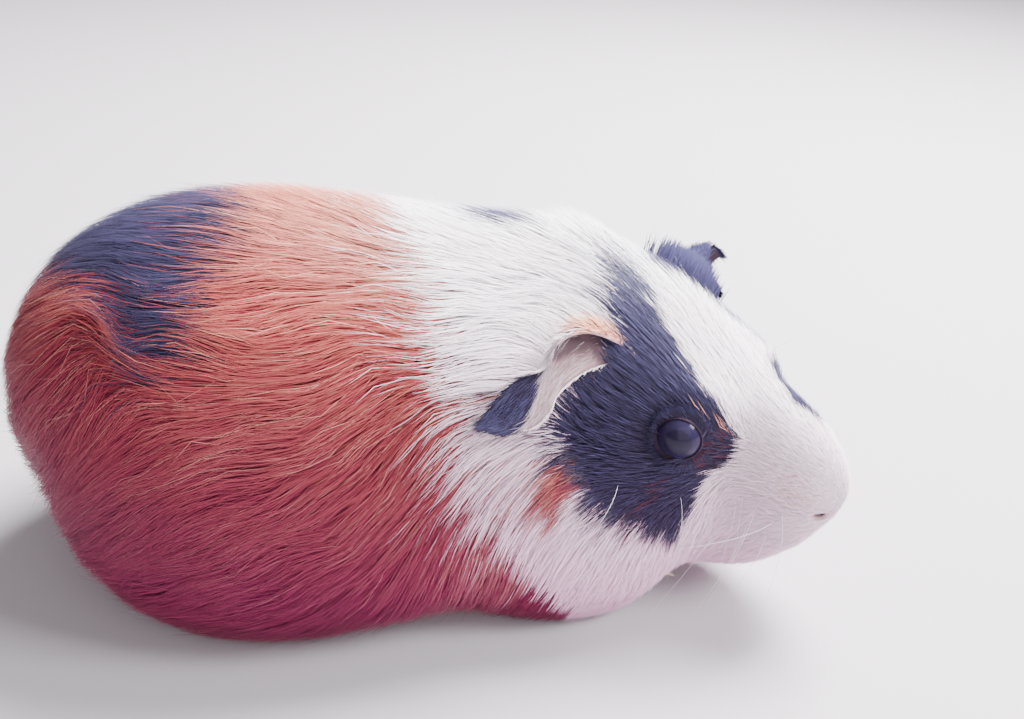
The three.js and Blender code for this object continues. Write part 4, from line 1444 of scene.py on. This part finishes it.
def strand_tree():
    """Geometry Nodes that turn lines into tapered round tubes, with a material."""
    tree = bpy.data.node_groups.new("tapered_tubes", "GeometryNodeTree")
    face = tree.interface
    face.new_socket("Lines", in_out="INPUT", socket_type="NodeSocketGeometry")
    thickness = face.new_socket("Thickness", in_out="INPUT", socket_type="NodeSocketFloat")
    sides = face.new_socket("Sides", in_out="INPUT", socket_type="NodeSocketInt")
    finish = face.new_socket("Finish", in_out="INPUT", socket_type="NodeSocketMaterial")
    face.new_socket("Tubes", in_out="OUTPUT", socket_type="NodeSocketGeometry")
    nodes = tree.nodes
    start, end = nodes.new("NodeGroupInput"), nodes.new("NodeGroupOutput")
    curve = nodes.new("GeometryNodeMeshToCurve")
    taper = nodes.new("GeometryNodeInputNamedAttribute")
    taper.data_type = "FLOAT"
    taper.inputs["Name"].default_value = "taper"
    radius = nodes.new("GeometryNodeSetCurveRadius")
    profile = nodes.new("GeometryNodeCurvePrimitiveCircle")
    tube = nodes.new("GeometryNodeCurveToMesh")
    tube.inputs["Fill Caps"].default_value = True
    real = nodes.new("GeometryNodeRealizeInstances")
    coloured = nodes.new("GeometryNodeSetMaterial")
    wires = ((start, "Lines", curve, "Mesh"), (curve, "Curve", radius, "Curve"),
             (taper, "Attribute", radius, "Radius"), (start, "Sides", profile, "Resolution"),
             (start, "Thickness", profile, "Radius"), (radius, "Curve", tube, "Curve"),
             (profile, "Curve", tube, "Profile Curve"), (taper, "Attribute", tube, "Scale"),
             (tube, "Mesh", real, "Geometry"), (real, "Geometry", coloured, "Geometry"),
             (start, "Finish", coloured, "Material"), (coloured, "Geometry", end, "Tubes"))
    for source, output, target, socket in wires:
        tree.links.new(source.outputs[output], target.inputs[socket])
    return tree, {"Thickness": thickness.identifier, "Sides": sides.identifier, "Finish": finish.identifier}


def tubes(name, paths, tapers, thickness, sides, material):
    """Tapered tubes along paths in millimetres, as one plain closed mesh."""
    points = np.concatenate(paths)
    edges, first = [], 0
    for path in paths:
        edges += [(first + k, first + k + 1) for k in range(len(path) - 1)]
        first += len(path)
    mesh = bpy.data.meshes.new(name)
    mesh.from_pydata((points * MM).tolist(), edges, [])
    piece = new_object(name, mesh)
    add_values(piece, "taper", np.concatenate(tapers))
    tree, sockets = strand_tree()
    modifier = piece.modifiers.new("tapered_tubes", "NODES")
    modifier.node_group = tree
    modifier[sockets["Thickness"]] = float(thickness * MM)
    modifier[sockets["Sides"]] = sides
    modifier[sockets["Finish"]] = material
    take_evaluated(piece)
    face_outwards(piece)
    piece.data.shade_smooth()
    return piece


CLAW_ROOT, CLAW_HOOK = -0.45, 0.55               # how far back a claw starts, and how high it arches
# Whiskers of the left side: root on the head's axes, length, and the way they stand.
LIP_ROOT, LIP_STEP, LIP_ROW = np.array([[47.0, 12.5, -15.0], [4.8, -0.8, 0], [0, 0, 3.6]])
LIP_LENGTH, LIP_WAY = (11, 24), (0.3, 1, -0.3)
OTHER_WHISKERS = (
    ((34, 13, 12), 24, (0.1, 0.5, 0.9)),
    ((31, 14, 12.5), 19, (-0.2, 0.6, 0.85)),
    ((34, 21, -11), 20, (0.2, 1, -0.2)),
    ((21, 30, -14), 17, (0, 1, -0.4)),
)


def claw_lines():
    """Centre lines of the claws, taken from the frame's claws, hooked down at the tip."""
    names, paths, tapers = [], [], []
    for name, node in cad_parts.items():
        if not name.startswith("claw_"):
            continue
        points = points_of(node)
        leg = FORELEG if "foreleg" in name else HINDLEG
        side = 1 if "left" in name else -1
        number = int(name.rsplit("_", 1)[1]) - 1
        _, yaw, _ = list(toe_places(leg))[number]
        forward = turn(yaw * side) @ np.array([1.0, 0, 0])
        reach = points @ forward
        base, tip = points[reach < reach.min() + 0.3].mean(0), points[reach > reach.max() - 0.3].mean(0)
        s = np.linspace(CLAW_ROOT, 1, 9)[:, None]
        path = base + (tip - base) * s + np.array([0, 0, CLAW_HOOK]) * (1 - s ** 2).clip(0)
        path[:, 2] = np.maximum(path[:, 2], 0.45)
        wide = np.ptp((points - base) @ np.cross((0, 0, 1), forward)) / 2
        paths.append(path)
        tapers.append(wide * np.sqrt(1.02 - s[:, 0].clip(0)) * 0.95)
        names.append(name)
    return names, paths, tapers


def whisker_lines(draw):
    """Whiskers in rows on the lips, and a few above and below the eyes, curving back and down."""
    lattice = the_body().lattice
    paths, tapers = [], []
    lips = [(LIP_ROOT + LIP_STEP * i + LIP_ROW * row, draw.uniform(*LIP_LENGTH), LIP_WAY)
            for row in range(3) for i in range(3)]
    for side in (1, -1):
        for place, length, way in (*lips, *OTHER_WHISKERS):
            start = lattice.settle(from_head(np.array(place) * (1, side, 1))[None], -1.2, 4)[0]
            way = unit(HEAD_TURN @ (np.array(way) * (1, side, 1)) + draw.normal(0, 0.3, 3))
            s = np.linspace(0, 1, 14)[:, None]
            droop = np.array([0, 0, -1.0]) * length * draw.uniform(0.3, 0.9)
            back = HEAD_TURN @ np.array([-1.0, 0, 0]) * length * draw.uniform(0.0, 0.6)
            path = start + way * length * s + (droop + back) * s ** 2
            path[:, 2] = np.maximum(path[:, 2], 0.6)
            paths.append(path)
            tapers.append((1 - 0.8 * s[:, 0]) * draw.uniform(0.8, 1.2))
    return paths, tapers


# ---- Settings ----


def colour_setting(name, description, default):
    """A colour that a user can change."""
    return FloatVectorProperty(name=name, description=description, default=default,
                               subtype="COLOR", size=3, min=0, max=1)


def count_setting(name, description, default):
    """A number of hairs."""
    return IntProperty(name=name, description=description, default=default, min=1000)


def width_setting(name, description, millimetres):
    """The width of a hair."""
    return FloatProperty(name=name, description=description, default=millimetres * MM, unit="LENGTH")


class GuineaPigColours(PropertyGroup):
    """Colours of the coat, the skin, the eyes and the claws."""

    # The root colours, darker than the tips, stand for painted shade deep in the coat.
    ginger_root: colour_setting("Ginger root", "Ginger hair next to the skin", (0.25, 0.048, 0.040))
    ginger_middle: colour_setting("Ginger middle", "Ginger hair halfway along", (0.34, 0.049, 0.048))
    ginger_tip: colour_setting("Ginger tip", "Tips of ginger hair", (0.52, 0.130, 0.090))
    # The pale ginger also gives the painted highlight on the top of the back.
    ginger_pale_and_highlight: colour_setting("Pale ginger", "The palest of the ginger hairs", (0.86, 0.50, 0.33))
    # The flank ginger is partly the coat's deeper colour low down, partly painted shade and painted pink
    # bounce light.
    ginger_deep_and_shade: colour_setting("Ginger flank", "The ginger coat low on the flanks", (0.145, 0.003, 0.058))
    white_root: colour_setting("White root", "White hair next to the skin", (0.70, 0.56, 0.63))
    white_tip: colour_setting("White tip", "Tips of white hair", (0.97, 0.97, 0.98))
    # The white flank colour is painted shade and painted pink bounce light low down.
    white_shade_and_bounce: colour_setting("White flank", "The white coat low down", (0.88, 0.42, 0.66))
    black_root: colour_setting("Black root", "Black hair next to the skin", (0.025, 0.019, 0.043))
    black_tip: colour_setting("Black tip", "Tips of black hair", (0.062, 0.057, 0.132))
    # The pale black also gives the painted sheen on the crown.
    black_pale_and_sheen: colour_setting("Pale black", "The palest of the black hairs", (0.078, 0.076, 0.172))
    # The black flank colour is painted shade and painted pink bounce light low down.
    black_shade_and_bounce: colour_setting("Black flank", "The black coat low down", (0.032, 0.012, 0.040))
    bare_skin: colour_setting("Bare skin", "Skin of the nose, the ears and the toes", (0.66, 0.42, 0.43))
    # Dark skin also serves as painted shade in the ears' hollows and the nostrils.
    dark_skin_and_shade: colour_setting("Dark skin", "Pigmented skin of the lids and ears", (0.024, 0.015, 0.030))
    eye_colour: colour_setting("Iris", "Iris of the eyes", (0.019, 0.014, 0.038))
    claw_colour: colour_setting("Claw", "Horn of the claws", (0.72, 0.58, 0.50))
    whisker_colour: colour_setting("Whisker", "Whiskers", (0.86, 0.82, 0.84))
    floor_colour: colour_setting("Floor", "Paper that the animal lies on", (0.49, 0.46, 0.485))


class GuineaPigCoat(PropertyGroup):
    """How much hair there is, and how thick it is."""

    body_count: count_setting("Body hairs", "Hairs on the trunk and neck", 57000)
    face_count: count_setting("Face hairs", "Hairs on the head", 42000)
    body_width: width_setting("Body hair width", "Thickness of the body's hair", 0.225)
    face_width: width_setting("Face hair width", "Thickness of the face's hair", 0.17)
    whisker_width: width_setting("Whisker width", "Thickness of a whisker at its root", 0.12)


# ---- Pieces ----

FLESH = ("trunk", "neck", "head", "foreleg_left", "foreleg_right", "hindleg_left", "hindleg_right",
         "ear_left", "ear_right")
KINDS = {GINGER: "ginger", WHITE: "white", BLACK: "black"}
COAT_SEED, WHISKER_SEED = 11, 23
CLAW_SIDES, WHISKER_SIDES = 10, 5


class GUINEAPIG_OT_skin(Operator):
    """Make the skin, with the ears, the lids and the feet, as one closed piece"""

    bl_idname = "guineapig.skin"
    bl_label = "Skin"

    def execute(self, context):
        skin = closed_loft("skin", the_body().skin[1:-1])
        others = [lid_skin(side) for side in (1, -1)]
        others += [ear_skin(side) for side in (1, -1)]
        others += [foot_skin(leg, side) for leg in (FORELEG, HINDLEG) for side in (1, -1)]
        unite(skin, others)
        skin.data.shade_smooth()
        for name, values in zip(("black", "ginger", "bare", "dark"), skin_values(points_of(skin))):
            add_values(skin, name, values)
        skin.data.materials.clear()
        skin.data.materials.append(skin_material(context.scene.guinea_pig_colours))
        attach(skin, "root")
        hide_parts(*FLESH)
        return {"FINISHED"}


class GUINEAPIG_OT_coat(Operator):
    """Grow the coat, in one family of pieces for each colour"""

    bl_idname = "guineapig.coat"
    bl_label = "Coat"

    def execute(self, context):
        look, sizes = context.scene.guinea_pig_colours, context.scene.guinea_pig_coat
        # The pale colours also give the painted highlight on the top, and the flank colours the painted
        # shade and pink bounce light low down; white uses its tip colour for the highlight.
        ginger = (look.ginger_root, look.ginger_middle, look.ginger_tip, look.ginger_pale_and_highlight, look.ginger_deep_and_shade)
        white = (look.white_root, look.white_tip, look.white_tip, look.white_tip, look.white_shade_and_bounce)
        black = (look.black_root, look.black_root, look.black_tip, look.black_pale_and_sheen, look.black_shade_and_bounce)
        finish = {
            GINGER: hair_material("ginger_hair", *ginger, reach=0.094, specular=0.14, contrast=0.095),
            WHITE: hair_material("white_hair", *white, reach=0.115, specular=0.3, contrast=0.06),
            BLACK: hair_material("black_hair", *black, reach=0.078, specular=0.12, contrast=0.08),
        }
        matt_black = hair_material("matt_black_hair", *black, reach=0.078, specular=0.0, contrast=0.08)
        draw = np.random.default_rng(COAT_SEED)
        crops = (("body", body_hairs(sizes.body_count, sizes.body_width / MM, draw), BODY_SLIMMING),
                 ("face", face_hairs(sizes.face_count, sizes.face_width / MM, draw), SHORT_SLIMMING),
                 ("ear_left", ear_hairs(1, draw), SHORT_SLIMMING),
                 ("ear_right", ear_hairs(-1, draw), SHORT_SLIMMING),
                 ("lids_and_feet", joined(lid_hairs(draw) + foot_hairs(draw)), SHORT_SLIMMING))
        for part, crop, slimming in crops:
            for kind, colour in KINDS.items():
                material = matt_black if part == "ear_left" and kind == BLACK else finish[kind]
                self.pieces(f"coat_{part}_{colour}", crop.take(crop.kind == kind), slimming, material,
                            f"coat_{colour}")
        return {"FINISHED"}

    @staticmethod
    def pieces(name, hairs, slimming, material, slot):
        """Splits one colour of a crop from rump to nose, so that no piece grows too large."""
        if not len(hairs):
            return
        hairs = hairs.take(np.argsort(hairs.place[:, 0], kind="stable"))
        parts = math.ceil(len(hairs) * hairs.triangles_each() / MOST_TRIANGLES)
        for number, chosen in enumerate(np.array_split(np.arange(len(hairs)), parts)):
            piece = hair_piece(f"{name}_{number + 1}", hairs.take(chosen), slimming)
            piece.data.materials.append(material)
            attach(piece, "root")


class GUINEAPIG_OT_eyes(Operator):
    """Make the eyes"""

    bl_idname = "guineapig.eyes"
    bl_label = "Eyes"

    def execute(self, context):
        material = eye_material(context.scene.guinea_pig_colours)
        for side in (1, -1):
            eye = eye_ball(side)
            eye.data.materials.append(material)
            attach(eye, "root")
            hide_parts("eye_left" if side > 0 else "eye_right")
        return {"FINISHED"}


class GUINEAPIG_OT_claws(Operator):
    """Make the claws along the frame's claws"""

    bl_idname = "guineapig.claws"
    bl_label = "Claws"

    def execute(self, context):
        names, paths, tapers = claw_lines()
        material = horn_material(context.scene.guinea_pig_colours)
        claws = tubes("claws", paths, tapers, 1.0, CLAW_SIDES, material)
        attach(claws, "root")
        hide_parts(*names)
        return {"FINISHED"}


class GUINEAPIG_OT_whiskers(Operator):
    """Make the whiskers"""

    bl_idname = "guineapig.whiskers"
    bl_label = "Whiskers"

    def execute(self, context):
        paths, tapers = whisker_lines(np.random.default_rng(WHISKER_SEED))
        width = context.scene.guinea_pig_coat.whisker_width / MM
        look = context.scene.guinea_pig_colours
        material = mottled_material("guinea_pig_whisker", look.whisker_colour, 0.8, 1.0, 120.0, 1.0, 0.3)
        whiskers = tubes("whiskers", paths, tapers, width / 2, WHISKER_SIDES, material)
        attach(whiskers, "root")
        return {"FINISHED"}


class GUINEAPIG_OT_stage(Operator):
    """Set out the floor, the lights and the camera"""

    bl_idname = "guineapig.stage"
    bl_label = "Stage"

    def execute(self, context):
        floor = self.paper(context.scene.guinea_pig_colours)
        self.world(context)
        for name, (place, size, power, colour) in LIGHTS.items():
            self.light(name, place, size, power, colour)
        self.camera(context)
        return {"FINISHED"}

    @staticmethod
    def paper(look):
        """A floor that sweeps up into a backdrop."""
        rows = [(PAPER_FRONT, 0.0), (PAPER_BACK, 0.0)]
        for bend in np.linspace(0.1, 1.5, 14):
            rows.append((PAPER_BACK + PAPER_BEND * math.sin(bend), PAPER_BEND - PAPER_BEND * math.cos(bend)))
        rows += [(PAPER_BACK + PAPER_BEND, PAPER_TOP)]
        points = [(x, y, z) for y, z in rows for x in (-PAPER_HALF, PAPER_HALF)]
        faces = [(2 * k, 2 * k + 1, 2 * k + 3, 2 * k + 2) for k in range(len(rows) - 1)]
        mesh = bpy.data.meshes.new("paper")
        mesh.from_pydata(points, [], faces)
        mesh.shade_smooth()
        floor = new_object("paper", mesh)
        matt = mottled_material("studio_paper", look.floor_colour, 0.97, 1.03, 6.0, 3.0, 0.9, 0.2)
        mesh.materials.append(matt)
        return floor

    @staticmethod
    def world(context):
        """Even light from all round."""
        world = bpy.data.worlds.new("studio")
        world.use_nodes = True
        back = world.node_tree.nodes["Background"]
        back.inputs["Color"].default_value = ROOM_COLOUR
        back.inputs["Strength"].default_value = ROOM_STRENGTH
        context.scene.world = world

    @staticmethod
    def light(name, place, size, power, colour):
        """A soft square lamp that points at the animal."""
        lamp = bpy.data.lights.new(name, "AREA")
        lamp.shape = "SQUARE"
        lamp.size, lamp.energy, lamp.color = size, power, colour
        holder = new_object(name, lamp)
        holder.location = place
        holder.rotation_euler = (Vector(LIT_POINT) - Vector(place)).to_track_quat("-Z", "Y").to_euler()

    @staticmethod
    def camera(context):
        """Looks down on the right side, rolled a little."""
        azimuth, height, roll = (math.radians(a) for a in CAMERA_ANGLES)
        back = Vector((math.sin(azimuth) * math.cos(height), -math.cos(azimuth) * math.cos(height),
                       math.sin(height)))
        lens = bpy.data.cameras.new("camera")
        lens.lens = CAMERA_LENS
        lens.sensor_width = 36.0
        lens.clip_start = 0.01
        holder = new_object("camera", lens)
        facing = (-back).to_track_quat("-Z", "Y").to_matrix() @ Matrix.Rotation(roll, 3, "Z")
        place = Vector(CAMERA_TARGET) + back * CAMERA_DISTANCE
        holder.matrix_world = Matrix.Translation(place) @ facing.to_4x4()
        context.scene.camera = holder


PIECES = (GUINEAPIG_OT_skin, GUINEAPIG_OT_coat, GUINEAPIG_OT_eyes, GUINEAPIG_OT_claws,
          GUINEAPIG_OT_whiskers, GUINEAPIG_OT_stage)


class GUINEAPIG_PT_panel(Panel):
    """Lists the pieces and their settings"""

    bl_idname = "GUINEAPIG_PT_panel"
    bl_label = "Guinea Pig"
    bl_space_type = "VIEW_3D"
    bl_region_type = "UI"
    bl_category = "Guinea Pig"

    def draw(self, context):
        """Lists the settings, then a button for each piece."""
        for settings in (context.scene.guinea_pig_coat, context.scene.guinea_pig_colours):
            box = self.layout.box()
            for name in settings.bl_rna.properties.keys():
                if name not in ("rna_type", "name"):
                    box.prop(settings, name)
        for piece in PIECES:
            self.layout.operator(piece.bl_idname)


CLASSES = (GuineaPigColours, GuineaPigCoat, *PIECES, GUINEAPIG_PT_panel)


def register():
    """Adds the settings, the operators and the panel."""
    for each in CLASSES:
        bpy.utils.register_class(each)
    bpy.types.Scene.guinea_pig_colours = PointerProperty(type=GuineaPigColours)
    bpy.types.Scene.guinea_pig_coat = PointerProperty(type=GuineaPigCoat)


def unregister():
    """Takes them away again."""
    del bpy.types.Scene.guinea_pig_coat
    del bpy.types.Scene.guinea_pig_colours
    for each in reversed(CLASSES):
        bpy.utils.unregister_class(each)


def main():
    """Makes every piece in order."""
    register()
    bpy.ops.guineapig.skin()
    bpy.ops.guineapig.coat()
    bpy.ops.guineapig.eyes()
    bpy.ops.guineapig.claws()
    bpy.ops.guineapig.whiskers()
    bpy.ops.guineapig.stage()


if __name__ == "__main__":
    main()
